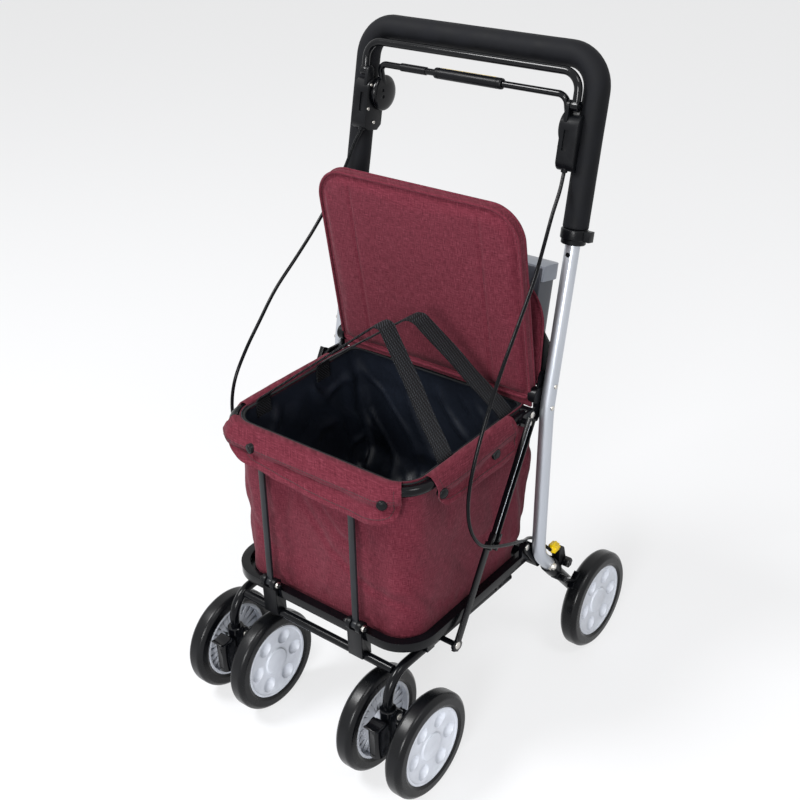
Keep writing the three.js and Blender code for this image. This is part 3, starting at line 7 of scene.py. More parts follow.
# %% Load the frame and note its box
import math
from functools import partial

import bmesh
import bpy
from mathutils import Matrix, Vector, noise


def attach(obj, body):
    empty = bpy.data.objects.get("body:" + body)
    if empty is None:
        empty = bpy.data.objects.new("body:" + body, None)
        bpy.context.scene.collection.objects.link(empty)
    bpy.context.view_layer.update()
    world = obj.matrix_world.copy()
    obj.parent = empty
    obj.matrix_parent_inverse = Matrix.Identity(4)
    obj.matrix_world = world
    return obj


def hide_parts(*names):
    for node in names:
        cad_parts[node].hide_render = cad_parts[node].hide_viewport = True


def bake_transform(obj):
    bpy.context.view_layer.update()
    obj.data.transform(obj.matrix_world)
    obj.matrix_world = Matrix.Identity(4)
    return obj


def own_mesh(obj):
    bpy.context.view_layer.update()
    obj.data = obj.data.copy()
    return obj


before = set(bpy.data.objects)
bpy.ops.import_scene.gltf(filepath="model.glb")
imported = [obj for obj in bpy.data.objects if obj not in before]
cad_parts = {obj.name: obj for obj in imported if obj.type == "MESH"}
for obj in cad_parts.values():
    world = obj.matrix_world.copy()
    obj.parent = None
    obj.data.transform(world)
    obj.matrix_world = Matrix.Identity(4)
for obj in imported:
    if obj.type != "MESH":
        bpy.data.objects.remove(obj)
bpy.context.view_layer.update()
MM = 0.001
SIDES = (("left", 1), ("right", -1))

# %% [markdown]
# ## Camera
# The photograph was taken from in front, high up and to the object's left. The camera's place and angles
# were fitted to the edges and wheels of the object, so a plain camera with a fixed lens matches it.

# %% Camera at the photograph's viewing angle
CAMERA_PLACE = (949.29, -1149.34, 1304.86)
CAMERA_YAW, CAMERA_PITCH, CAMERA_ROLL = 39.56, -29.51, -2.3
FOCAL_PIXELS, PHOTO_PIXELS, SENSOR = 1218.98, 800, 36.0

camera_data = bpy.data.cameras.new("camera")
camera_data.sensor_width = SENSOR
camera_data.lens = FOCAL_PIXELS / PHOTO_PIXELS * SENSOR
camera = bpy.data.objects.new("camera", camera_data)
bpy.context.scene.collection.objects.link(camera)
yaw, pitch, roll = (math.radians(a) for a in (CAMERA_YAW, CAMERA_PITCH, CAMERA_ROLL))
ahead = Vector((-math.sin(yaw) * math.cos(pitch), math.cos(yaw) * math.cos(pitch), math.sin(pitch)))
level = Vector((math.cos(yaw), math.sin(yaw), 0))
upright = level.cross(ahead)
right_axis = level * math.cos(roll) + upright * math.sin(roll)
up_axis = upright * math.cos(roll) - level * math.sin(roll)
camera.matrix_world = Matrix.LocRotScale(
    Vector(CAMERA_PLACE) * MM, Matrix((right_axis, up_axis, -ahead)).transposed(), None)
bpy.context.scene.camera = camera
print("lens", round(camera_data.lens, 2), "mm")

# %% [markdown]
# ## Small tools for meshes
# Most of this frame is bent tube, turned parts and pressed plates. Three makers cover them: a sweep along
# a bent path, a lathe, and a prism. They return plain points and faces, so that parts can be joined or cut.

# %% Rounded paths and outlines
def corner_arc(before, corner, after, radius, steps):
    """The arc that rounds one corner of a path or an outline."""
    back, onward = (before - corner).normalized(), (after - corner).normalized()
    half = back.angle(onward) / 2
    reach, turn = radius / math.tan(half), math.pi - 2 * half
    centre = corner + (back + onward).normalized() * radius / math.sin(half)
    start, end = corner + back * reach - centre, corner + onward * reach - centre
    return [centre + start * math.sin((1 - k / steps) * turn) / math.sin(turn)
            + end * math.sin(k / steps * turn) / math.sin(turn) for k in range(steps + 1)]


def bent(corners, bend, steps=8):
    """Corners rounded to arcs of one bend radius, as a tube bender leaves them."""
    corners = [Vector(c) for c in corners]
    arcs = [corner_arc(*three, bend, steps) for three in zip(corners, corners[1:], corners[2:])]
    return [corners[0], *(p for points in arcs for p in points), corners[-1]]


def rounded(corners, radii, steps=5):
    """A flat outline with rounded corners; radii is one number or one for each corner."""
    radii = radii if hasattr(radii, "__len__") else [radii] * len(corners)
    corners, out = [Vector(c) for c in corners], []
    for i, (corner, radius) in enumerate(zip(corners, radii)):
        after = corners[(i + 1) % len(corners)]
        out += corner_arc(corners[i - 1], corner, after, radius, steps) if radius > 0 else [corner]
    return [tuple(p) for p in out]


def arc(centre, radius, start, end, steps):
    turns = (math.radians(start + (end - start) * k / steps) for k in range(steps + 1))
    return [(centre[0] + radius * math.cos(t), centre[1] + radius * math.sin(t)) for t in turns]


# %% Sweep, lathe and prism
def circle(radius, sides):
    return [(radius * math.cos(2 * math.pi * i / sides), radius * math.sin(2 * math.pi * i / sides))
            for i in range(sides)]


def grid_faces(rows, columns, wrap_rows=False, caps=True):
    """Faces between rows of a closed section, with an end face at each end if asked."""
    faces = []
    for r in range(rows if wrap_rows else rows - 1):
        low, high = r * columns, (r + 1) % rows * columns
        for c in range(columns):
            d = (c + 1) % columns
            faces.append((low + c, low + d, high + d, high + c))
    if caps:
        faces.append(tuple(reversed(range(columns))))
        faces.append(tuple((rows - 1) * columns + c for c in range(columns)))
    return faces


def sweep(path, section, scales=None, width=None, closed=False):
    """A section carried along a path without twist, or square to a fixed width direction."""
    path = [Vector(p) for p in path]
    count, points, normal = len(path), [], None
    for i, place in enumerate(path):
        later = path[(i + 1) % count] if closed else path[min(i + 1, count - 1)]
        sooner = path[(i - 1) % count] if closed else path[max(i - 1, 0)]
        along = (later - sooner).normalized()
        if width is not None:
            normal = Vector(width).cross(along)
        elif normal is None:
            normal = Vector((1, 0, 0)) if abs(along.x) < 0.9 else Vector((0, 0, 1))
        normal = (normal - along * normal.dot(along)).normalized()
        across = along.cross(normal)
        scale = scales[i] if scales else 1
        points += [place + (normal * a + across * b) * scale for a, b in section]
    return points, grid_faces(count, len(section), wrap_rows=closed, caps=not closed)


def lathe(profile, place, axis=(1, 0, 0), sides=48, closed=False):
    """A profile of (radius, distance along the axis) turned about an axis through a place."""
    axis, place = Vector(axis).normalized(), Vector(place)
    normal = axis.orthogonal().normalized()
    across = axis.cross(normal)
    turns = [2 * math.pi * i / sides for i in range(sides)]
    points = [place + axis * along + (normal * math.cos(t) + across * math.sin(t)) * max(radius, 0.001)
              for radius, along in profile for t in turns]
    return points, grid_faces(len(profile), sides, wrap_rows=closed, caps=not closed)


def pin(start, end, radius, chamfer=0.6, sides=32):
    """A round bar with chamfered ends."""
    start, end = Vector(start), Vector(end)
    length = (end - start).length
    chamfer = min(chamfer, radius / 2, length / 3)
    profile = [(radius - chamfer, 0), (radius, chamfer), (radius, length - chamfer), (radius - chamfer, length)]
    return lathe(profile, start, end - start, sides)


def crosspin(side, x0, x1, place, radius, chamfer=0.6, sides=32):
    """A round bar across one side of the frame, through a place in Y and Z."""
    return pin((side * x0, *place), (side * x1, *place), radius, chamfer, sides)


def prism(outline, low, high, axis="x"):
    """An outline in the plane across an axis, carried between two distances along it."""
    order = {"x": lambda a, b, t: (t, a, b), "y": lambda a, b, t: (a, t, b), "z": lambda a, b, t: (a, b, t)}[axis]
    points = [Vector(order(a, b, t)) for t in sorted((low, high)) for a, b in outline]
    return points, grid_faces(2, len(outline))


def block(low, high):
    """A box between two corners."""
    (x0, y0, z0), (x1, y1, z1) = low, high
    return prism([(y0, z0), (y1, z0), (y1, z1), (y0, z1)], x0, x1)


def moved(solid, matrix):
    return [matrix @ Vector(p) for p in solid[0]], solid[1]


# %% [markdown]
# A finished piece needs outward faces, edges that catch light, and smooth shading only where the real
# surface is curved. Moulded and pressed parts are joined with a boolean and then get a small bevel.

# %% Piece makers
def mesh_of(name, solid):
    mesh = bpy.data.meshes.new(name)
    mesh.from_pydata([Vector(p) * MM for p in solid[0]], solid[2] if len(solid) > 2 else [], solid[1])
    return mesh


def object_of(name, mesh):
    thing = bpy.data.objects.new(name, mesh)
    bpy.context.scene.collection.objects.link(thing)
    return thing


def baked(thing, name):
    """The evaluated mesh of an object with modifiers, as a plain mesh object; the first one is removed."""
    bpy.context.view_layer.update()
    graph = bpy.context.evaluated_depsgraph_get()
    mesh = bpy.data.meshes.new_from_object(thing.evaluated_get(graph))
    bpy.data.objects.remove(thing)
    mesh.name = name
    return object_of(name, mesh)


def tidied(mesh, smooth=38, weld=0.01):
    """Merges doubles, turns the faces outwards, and keeps sharp the edges above an angle."""
    work = bmesh.new()
    work.from_mesh(mesh)
    bmesh.ops.remove_doubles(work, verts=work.verts, dist=weld * MM)
    bmesh.ops.dissolve_degenerate(work, edges=work.edges, dist=weld * MM)
    bmesh.ops.recalc_face_normals(work, faces=work.faces)
    for face in work.faces:
        face.smooth = True
    for edge in work.edges:
        edge.smooth = len(edge.link_faces) == 2 and edge.calc_face_angle(0) < math.radians(smooth)
    work.to_mesh(mesh)
    work.free()
    return mesh


def solid_object(name, solid):
    return object_of(name, tidied(mesh_of(name, solid)))


def boolean(thing, others, operation):
    for other in others:
        change = thing.modifiers.new("change", "BOOLEAN")
        change.operation, change.object, change.solver = operation, other, "MANIFOLD"
    done = baked(thing, thing.name + "_joined")
    for other in others:
        bpy.data.objects.remove(other)
    return done


def finished(thing, name, finish, bevel=0.0, segments=2, smooth=38):
    """Bevels the sharp edges, gives the finish and sets the shading."""
    tidied(thing.data, smooth)
    if bevel > 0:
        edge = thing.modifiers.new("edge", "BEVEL")
        edge.width, edge.segments = bevel * MM, segments
        edge.limit_method, edge.angle_limit = "ANGLE", math.radians(smooth)
        edge.use_clamp_overlap = True
    thing = baked(thing, name)
    thing.name = name
    thing.data.materials.clear()
    thing.data.materials.append(finish)
    tidied(thing.data, smooth, weld=0.002)
    return thing


def solid_piece(name, finish, joins, cuts=(), **how):
    """Joins closed solids, cuts others out, and finishes the result."""
    thing, *others = [solid_object(f"{name}_{i}", s) for i, s in enumerate(joins)]
    tools = [solid_object(f"{name}_cut{i}", s) for i, s in enumerate(cuts)]
    if others:
        thing = boolean(thing, others, "UNION")
    if tools:
        thing = boolean(thing, tools, "DIFFERENCE")
    return finished(thing, name, finish, **how)


def shell_piece(name, finish, solid, smooth):
    """One closed shell, finished without a bevel."""
    return finished(object_of(name, mesh_of(name, solid)), name, finish, smooth=smooth)


def placed(thing, body, *nodes, slot=None):
    """Puts a piece on its body and hides the CAD nodes that it stands for. The slot is not used."""
    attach(thing, body)
    if nodes:
        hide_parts(*nodes)
    return thing


def part(name, body, finish, joins, *nodes, slot=None, **how):
    """A solid piece, made and placed in one go."""
    return placed(solid_piece(name, finish, joins, **how), body, *nodes, slot=slot)


def dressed(node, body, finish, bevel=0.6, slot=None):
    """A welded copy of a CAD node with bevelled edges, for a pressed or moulded part whose shape is right."""
    copy = object_of(node + "_copy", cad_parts[node].data.copy())
    work = bmesh.new()
    work.from_mesh(copy.data)
    bmesh.ops.remove_doubles(work, verts=work.verts, dist=0.005 * MM)
    bmesh.ops.dissolve_limit(work, angle_limit=math.radians(1.0), verts=work.verts, edges=work.edges)
    work.to_mesh(copy.data)
    work.free()
    return placed(finished(copy, node + "_made", finish, bevel), body, node, slot=slot)


# %% [markdown]
# ## Finishes
# Each material is named for what the real surface is and how it was made. Two recipes cover most of them.
# A moulded, painted or plated surface has slow changes of tone and gloss and a fine grain. A woven one has
# threads of two directions, with slubs that run along them. Patterns are sized in millimetres.

# %% Node helper
def srgb(code):
    """An sRGB hex colour as linear values."""
    parts = [int(code[i:i + 2], 16) / 255 for i in (1, 3, 5)]
    return tuple(c / 12.92 if c <= 0.04045 else ((c + 0.055) / 1.055) ** 2.4 for c in parts) + (1.0,)


def feed(tree, node, inputs):
    """Sets or links a node's inputs by name or number; a node given as a value means its first output."""
    for key, value in inputs.items():
        if isinstance(value, bpy.types.Node):
            value = value.outputs[0]
        if isinstance(value, bpy.types.NodeSocket):
            tree.links.new(value, node.inputs[key])
        else:
            node.inputs[key].default_value = value


def add_node(tree, kind, inputs=None, **settings):
    """Adds a node, applies its settings, and sets or links its inputs."""
    node = tree.nodes.new(kind)
    for key, value in settings.items():
        setattr(node, key, value)
    feed(tree, node, inputs or {})
    return node


def per_mm(size):
    """Texture scale for a pattern of this size in millimetres."""
    return 1 / (size * MM)


def bands_mm(period):
    """Wave texture scale for bands of this period in millimetres."""
    return 0.314 / (period * MM)


def shader_of(name, colour, roughness, metallic=0.0, specular=0.5, sheen=0.0):
    material = bpy.data.materials.new(name)
    material.use_nodes = True
    tree = material.node_tree
    shader = tree.nodes["Principled BSDF"]
    feed(tree, shader, {"Base Color": srgb(colour), "Roughness": roughness, "Metallic": metallic,
                        "Specular IOR Level": specular, "Sheen Weight": sheen})
    return material, tree, shader


# %% The two recipes
def surface(name, colour, shade, gloss, patch, grain, relief, stretch=(1, 1, 1), **sockets):
    """A plain surface: tone drifts between two colours, gloss between two values, over a bumpy grain."""
    material, tree, shader = shader_of(name, colour, gloss[0], **sockets)
    add = partial(add_node, tree)
    where = add("ShaderNodeTexCoord").outputs["Object"]
    turned = add("ShaderNodeMapping", {"Vector": where, "Scale": stretch})
    drift = add("ShaderNodeTexNoise", {
        "Vector": turned, "Scale": per_mm(patch), "Detail": 3.0, "Roughness": 0.55})
    fine = add("ShaderNodeTexNoise", {"Vector": turned, "Scale": per_mm(grain), "Detail": 2.0})
    spread = add("ShaderNodeMapRange", {"Value": drift, "From Min": 0.35, "From Max": 0.65})
    tone = add("ShaderNodeMix", {0: spread, 6: srgb(shade), 7: srgb(colour)}, data_type="RGBA")
    rough = add("ShaderNodeMapRange", {
        "Value": drift, "From Min": 0.3, "From Max": 0.7, "To Min": gloss[0], "To Max": gloss[1]})
    bump = add("ShaderNodeBump", {"Height": fine, "Distance": relief * MM, "Strength": 0.6})
    feed(tree, shader, {"Base Color": tone.outputs[2], "Roughness": rough, "Normal": bump})
    return material


def woven(name, colours, thread, slub, relief, gloss, turn=0.0, crease=0.0, rib_highlight=0.0, **sockets):
    """A woven cloth: weft and warp each with their own slubs, seen in turn where they cross."""
    dark, middle, light = (srgb(c) for c in colours)
    material, tree, shader = shader_of(name, colours[1], gloss, **sockets)
    add = partial(add_node, tree)
    where = add("ShaderNodeTexCoord").outputs["Object"]
    parts = add("ShaderNodeSeparateXYZ", {"Vector": where}).outputs
    around = add("ShaderNodeMath", {0: parts["X"], 1: parts["Y"]}, operation="ADD")
    flat = add("ShaderNodeCombineXYZ", {"X": around, "Y": parts["Z"]})
    cloth = add("ShaderNodeMapping", {"Vector": flat, "Rotation": (0, 0, turn)})
    yarns = []
    for stretch in ((thread / slub, 1, 1), (1, thread / slub, 1)):
        along = add("ShaderNodeMapping", {"Vector": cloth, "Scale": stretch})
        yarns.append(add("ShaderNodeTexNoise", {
            "Vector": along, "Scale": per_mm(thread), "Detail": 2.0, "Roughness": 0.6}))
    bands = [add("ShaderNodeTexWave", {
        "Vector": cloth, "Scale": bands_mm(thread * 2), "Distortion": 0.6, "Detail": 1.0},
        wave_type="BANDS", bands_direction=way).outputs["Fac"] for way in ("X", "Y")]
    over = add("ShaderNodeMath", {0: bands[0], 1: bands[1]}, operation="SUBTRACT")
    shown = add("ShaderNodeMapRange", {"Value": over, "From Min": -0.8, "From Max": 0.8})
    yarn = add("ShaderNodeMix", {0: shown, 2: yarns[0], 3: yarns[1]}, data_type="FLOAT")
    height = add("ShaderNodeMath", {0: bands[0], 1: bands[1]}, operation="MULTIPLY")
    # Raised crossings are lifted towards the light colour: a painted highlight on the rib
    if rib_highlight:
        lifted = add("ShaderNodeMath", {0: height, 1: rib_highlight, 2: -rib_highlight / 4}, operation="MULTIPLY_ADD")
        yarn = add("ShaderNodeMath", {0: yarn, 1: lifted}, operation="ADD")
    low, high = (add("ShaderNodeMapRange", {"Value": yarn, "From Min": a, "From Max": a + 0.2})
                 for a in (0.3, 0.5))
    lower = add("ShaderNodeMix", {0: low, 6: dark, 7: middle}, data_type="RGBA")
    upper = add("ShaderNodeMix", {0: high, 6: lower.outputs[2], 7: light}, data_type="RGBA")
    rough = add("ShaderNodeMath", {0: height, 1: yarn}, operation="ADD")
    bump = add("ShaderNodeBump", {"Height": rough, "Distance": relief * MM, "Strength": 0.7})
    if crease:
        soft = add("ShaderNodeTexNoise", {
            "Vector": where, "Scale": per_mm(48), "Detail": 2.0, "Distortion": 0.6})
        bump = add("ShaderNodeBump", {
            "Height": soft, "Distance": crease * MM, "Strength": 1.0, "Normal": bump})
    feed(tree, shader, {"Base Color": upper.outputs[2], "Normal": bump})
    return material


# %% [markdown]
# The colours come from how each real surface looks in plain white light. A thread of the real cloth is
# well under a millimetre, too fine for the picture, so it is drawn at about the size of a visible slub.
# The black finishes reflect less than usual, because a white surround would turn them grey.

# %% The materials
# Satin anodised aluminium: bright, with a soft streak along the drawn tube
TUBE = surface("anodised_aluminium", "#bfc3ca", "#b0b5bd", (0.32, 0.4), 60, 2.5, 0.004,
               stretch=(1, 1, 0.15), metallic=0.85)
# Powder-coated steel: black, glossy, with a faint orange peel
PAINT = surface("powder_coated_steel", "#0a0b0e", "#06070a", (0.14, 0.24), 45, 1.8, 0.012, specular=0.17)
# The front bars are painted a dull dark grey
DULL = surface("matt_painted_steel", "#1f2125", "#181a1d", (0.3, 0.4), 40, 1.4, 0.02, specular=0.22)
# Closed-cell EVA foam: matt, open to a fine grain
FOAM = surface("closed_cell_foam", "#121317", "#0c0d10", (0.6, 0.75), 30, 1.5, 0.14, specular=0.14)
# Injection-moulded nylon: a dull black with a spark-eroded grain
NYLON = surface("moulded_nylon", "#0c0d10", "#07080b", (0.28, 0.4), 35, 1.1, 0.03, specular=0.16)
# Polished moulded black on the cams and levers, where light runs along the edges
GLOSS = surface("polished_moulding", "#08090c", "#050609", (0.1, 0.18), 40, 1.6, 0.008, specular=0.24)
# Extruded PVC cable cover: smooth and glossy
CABLE = surface("extruded_cable_cover", "#08090c", "#050609", (0.14, 0.2), 60, 5, 0.0, specular=0.12)
# Moulded ABS wheel hub: pale grey and satin
HUB = surface("moulded_abs_hub", "#d3d7df", "#c6cad2", (0.3, 0.42), 25, 1.2, 0.02)
# Thermoplastic rubber tyre: near black, slightly waxy
RUBBER = surface("rubber_tyre", "#0c0d10", "#08090b", (0.24, 0.34), 30, 1.5, 0.03, specular=0.22)
# Moulded acetal adjusting nut: clear yellow
YELLOW = surface("moulded_acetal", "#f0cc00", "#dcb800", (0.3, 0.4), 12, 1.0, 0.02)
# Zinc-plated steel: bright with a warm grey cast
ZINC = surface("zinc_plated_steel", "#cfccc6", "#b5b2ad", (0.22, 0.36), 14, 1.0, 0.01, metallic=1.0)
# Moulded polypropylene of the rear basket and its lid
BASKET = surface("moulded_polypropylene_dark", "#3b3e46", "#33363d", (0.4, 0.55), 40, 1.4, 0.05)
BASKET_LID = surface("moulded_polypropylene_grey", "#858a93", "#787d86", (0.36, 0.5), 40, 1.4, 0.05)
# Heathered polyester cloth: burgundy with paler and darker slubs and a soft sheen
CLOTH = woven("heathered_polyester", ("#42131e", "#5c212d", "#753643"), 1.05, 11, 0.2, 0.9,
              specular=0.12, sheen=0.05)
# Coated nylon lining: black with a blue cast and a slick gloss in its creases
LINING = woven("coated_nylon_lining", ("#0d1017", "#141923", "#1e2531"), 1.2, 4, 0.04, 0.42, crease=0.9,
               specular=0.55)
# Woven polypropylene strap: black with a diagonal rib, its raised crossings painted lighter as a painted highlight
WEBBING = woven("polypropylene_webbing", ("#040506", "#0b0c0f", "#2c2f34"), 1.6, 2.4, 0.8, 0.68,
                turn=math.radians(45), rib_highlight=0.75, specular=0.22)
# Sewing thread and the edge tape of the bag
THREAD = surface("sewing_thread", "#2f0b14", "#25080f", (0.6, 0.7), 3, 0.6, 0.05)
TAPE = woven("binding_tape", ("#08090b", "#0f1113", "#1b1d21"), 1.2, 3, 0.2, 0.75, specular=0.25)

print("materials:", len(bpy.data.materials))

# %% [markdown]
# ## Brake cables
# Each brake cable leaves its housing under the grip, hangs forward in a wide bow outside the frame, passes
# the clip on the side brace and ends at the adjusting nut by the wheel. It crosses three bodies, so it is
# made in three stretches whose ends meet.

# %% The raked upper frame and the cable routes
TUBE_X, TUBE_R = 186, 10
HEEL, KNEE, AXLE = Vector((0, 76, 228)), Vector((0, 89, 465)), Vector((0, 201.5, 78))
RAKE = math.atan2(196 - 89, 920 - 465)
GRIP_HEIGHT = math.hypot(196 - 89, 920 - 465)
BACK_FRAME = Matrix.Translation(KNEE) @ Matrix.Rotation(-RAKE, 4, "X")
HOUSING_TOP = GRIP_HEIGHT - 71.4
HOUSING_FOOT = HOUSING_TOP - 72
SPOUT_X, SPOUT_DEPTH = 169, -21.8
NUT_X, NUT_Z = 187, 216


def raked(x, depth, height):
    """A point of the raked upper frame: depth towards the user, height along the tube from the knee."""
    return BACK_FRAME @ Vector((x, depth, height))


def on_tube(side, height, depth=0):
    return raked(side * TUBE_X, depth, height)


CABLE_TAIL = [(188, 22, 283), (178, 52, 264), (172.2, 70, 254.5), (171.8, 84, 246), (175.5, 97, 233),
              (182.5, 104, 223)]
CABLE_ROUTES = {
    "left": [
        (173, 127, 766), (176.5, 104, 740), (180, 81, 708), (184, 54, 672), (187, 16, 628),
        (189.5, -30, 573), (191.5, -74, 506), (192.5, -99, 452), (193.5, -107, 412), (194.5, -102, 376),
        (195.5, -84, 345), (195.5, -55, 324), (193.5, -16, 303), *CABLE_TAIL],
    "right": [
        (-173, 131, 768), (-177, 113, 738), (-181, 85, 701), (-186, 48, 662), (-190, 11, 630),
        (-192, -36, 595), (-193, -70, 561), (-194, -103, 526), (-195, -128, 490), (-196, -138, 453),
        (-196, -136, 415), (-195.5, -122, 376), (-195.5, -96, 346), (-195.5, -55, 324), (-193, -16, 305),
        *((-x, y, z) for x, y, z in CABLE_TAIL)],
}


# %% Curves of an even step
def spline(points, steps=6):
    """A centripetal curve through the points, as the CAD routes its cables."""
    points = [Vector(p) for p in points]
    points = [2 * points[0] - points[1], *points, 2 * points[-1] - points[-2]]
    curve = []
    for p0, p1, p2, p3 in zip(points, points[1:], points[2:], points[3:]):
        d0, d1, d2 = (math.sqrt((b - a).length) for a, b in ((p0, p1), (p1, p2), (p2, p3)))
        m1 = ((p1 - p0) / d0 - (p2 - p0) / (d0 + d1) + (p2 - p1) / d1) * d1
        m2 = ((p2 - p1) / d1 - (p3 - p1) / (d1 + d2) + (p3 - p2) / d2) * d1
        for k in range(steps):
            t = k / steps
            curve.append(p1 * (2 * t ** 3 - 3 * t * t + 1) + m1 * (t ** 3 - 2 * t * t + t)
                         + p2 * (3 * t * t - 2 * t ** 3) + m2 * (t ** 3 - t * t))
    return curve + [points[-2]]


def length_of(path):
    return sum((b - a).length for a, b in zip(path, path[1:]))


def evenly(path, step):
    """The same path in equal steps of about this length."""
    path = [Vector(p) for p in path]
    count = max(2, round(length_of(path) / step))
    share, out, walked, i = length_of(path) / count, [path[0]], 0.0, 0
    for k in range(1, count):
        while walked + (path[i + 1] - path[i]).length < k * share:
            walked += (path[i + 1] - path[i]).length
            i += 1
        out.append(path[i].lerp(path[i + 1], (k * share - walked) / (path[i + 1] - path[i]).length))
    return out + [path[-1]]


# %% The cables, in three stretches each
CABLE_RADIUS, CLIP, SPLIT_HEIGHT = 2.5, (195.5, -52, 322), 560

for name, side in SIDES:
    leaves = raked(side * SPOUT_X, SPOUT_DEPTH, HOUSING_FOOT - 2)
    run = evenly(spline([leaves, *CABLE_ROUTES[name], (side * NUT_X, 109.4, NUT_Z)]), 6)
    clip_at = Vector((side * CLIP[0], *CLIP[1:]))
    clip = min(range(len(run)), key=lambda i: (run[i] - clip_at).length)
    middle = min(range(clip), key=lambda i: abs(run[i].z - SPLIT_HEIGHT))
    for stretch, path, first, second in (("upper", run[:middle + 1], "handle", "rear_frame"),
                                         ("middle", run[middle:clip + 1], "rear_frame", "brace_channels"),
                                         ("lower", run[clip:], "brace_channels", "rear_frame")):
        tube = shell_piece(f"cable_{stretch}_{name}", CABLE, sweep(path, circle(CABLE_RADIUS, 14)), 80)
        metres = [tuple(p * MM) for p in evenly(path, length_of(path) / 24)]
        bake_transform(tube)
        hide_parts(f"brake_cable_{name}")
    print(name, "cable:", round(length_of(run)), "mm")

# %% [markdown]
# ## Rear frame
# Two bent aluminium tubes carry everything. Each runs up from the wheel socket, round a tight heel and a
# slow knee, and into the handle. A swept circle along the bender's path gives the smooth highlight.
# Just under its collar each has a drilled hole, and a black disc inside is painted shade that makes the hole look
# deep.

# %% Rear tubes
TAIL = HEEL + (AXLE - HEEL).normalized() * 58
TUBE_TOP, HOLE_HEIGHT, HOLE_R = 345, 217, 3.4


def sideways(side, point, x=TUBE_X):
    return Vector((side * x, point.y, point.z))


for name, side in SIDES:
    heel = bent([sideways(side, p) for p in (TAIL, HEEL, KNEE)], 55, 14)
    knee = bent([heel[-2], sideways(side, KNEE), on_tube(side, TUBE_TOP)], 160, 12)
    hole = pin(on_tube(side, HOLE_HEIGHT), on_tube(side, HOLE_HEIGHT, -13), HOLE_R)
    part(f"frame_tube_{name}", "rear_frame", TUBE, [sweep(heel[:-1] + knee[1:], circle(TUBE_R, 40))],
         f"rear_tube_{name}", cuts=[hole], bevel=0.4)
    # A black disc inside the hole is painted shade, so the hole looks deep
    shade_disc = lathe([(HOLE_R, -0.6), (HOLE_R, 0.5), (0, 0.5), (0, -0.6)], on_tube(side, HOLE_HEIGHT, -8.7),
                 BACK_FRAME.to_3x3() @ Vector((0, -1, 0)), 28)
    part(f"adjust_hole_{name}", "rear_frame", NYLON, [shade_disc])
print("rear tubes made")

# %% [markdown]
# ## Handle
# The handle is one steel tube in a U with a thick foam sleeve slipped over it. Foam is never quite even,
# so its section breathes a little along its length. A clamp collar closes its foot on each side.

# %% Foam grip and collars
FOAM_R, FOAM_FOOT, FOAM_LIP = 17, 252, 2.4
COLLAR_FOOT, COLLAR_STEP, COLLAR_TOP = 231.2, 237.7, 251.7


def rounded_ends(path, radius, lip):
    """Extra stations near both ends, with scales that round the rim over a lip length."""
    rims = []
    for start, inner in (path[:2], path[:-3:-1]):
        onward = (inner - start).normalized()
        rims.append([(start + onward * lip * (1 - math.cos(t)), 1 - lip / radius * (1 - math.sin(t)))
                     for t in (k / 4 * math.pi / 2 for k in range(5))])
    whole = rims[0] + [(p, 1.0) for p in path[1:-1]] + rims[1][::-1]
    return [p for p, _ in whole], [s for _, s in whole]


corners = [on_tube(s, h) for s, h in ((1, FOAM_FOOT), (1, GRIP_HEIGHT), (-1, GRIP_HEIGHT), (-1, FOAM_FOOT))]
path, scales = rounded_ends(evenly(bent(corners, 42, 16), 5), FOAM_R, FOAM_LIP)
scales = [s * (1 + 0.012 * noise.noise(p / 38)) for s, p in zip(scales, path)]
placed(shell_piece("foam_grip", FOAM, sweep(path, circle(FOAM_R, 40), scales), 60), "handle", "handle_foam")

for name, side in SIDES:
    low, step_up, high = (on_tube(side, h) for h in (COLLAR_FOOT, COLLAR_STEP, COLLAR_TOP))
    tab = moved(block((side * 16.5, -6, COLLAR_STEP), (side * 25.5, 6, COLLAR_TOP)),
                BACK_FRAME @ Matrix.Translation((side * TUBE_X, 0, 0)))
    rings = [pin(low, step_up + (high - step_up) * 0.1, 16.5, 1.2, 48), pin(step_up, high, 18.5, 1.2, 48), tab]
    part(f"clamp_collar_{name}", "handle", NYLON, rings, f"handle_collar_{name}",
         cuts=[pin(on_tube(side, 225), on_tube(side, 260), 12.9)], bevel=0.7)
print("grip and collars made")

# %% [markdown]
# The brake bar is a thin painted rod in front of the grip. Under it, the parking bar joins two domed cam
# discs, with a push sleeve in its middle. Both turn on the brake housings, which hug the foam.

# %% Brake bar and parking bar
PIVOT_HEIGHT, BAR_HEIGHT = HOUSING_TOP + 10, HOUSING_TOP + 51
BAR_X, BAR_DEPTH = 172, -22
PIVOT = raked(0, BAR_DEPTH, PIVOT_HEIGHT).yz
CAM = raked(0, 2, HOUSING_TOP - 19).yz
ROD_X, ROD = 152.2, (CAM.x - 7, CAM.y + 43)
CAM_X, CAM_R = 157.7, 25

corners = [raked(s * BAR_X, BAR_DEPTH, h) for s, h in (
    (1, PIVOT_HEIGHT), (1, BAR_HEIGHT), (-1, BAR_HEIGHT), (-1, PIVOT_HEIGHT))]
eyes = [crosspin(s, 166.5, 177.5, PIVOT, 6.8) for s in (1, -1)]
part("squeeze_bar", "brake_bar", GLOSS, [sweep(bent(corners, 24, 14), circle(5.5, 28)), *eyes], "brake_bar",
     slot="black_paint", cuts=[crosspin(s, 160, 184, PIVOT, 3.4) for s in (1, -1)], bevel=0.4)

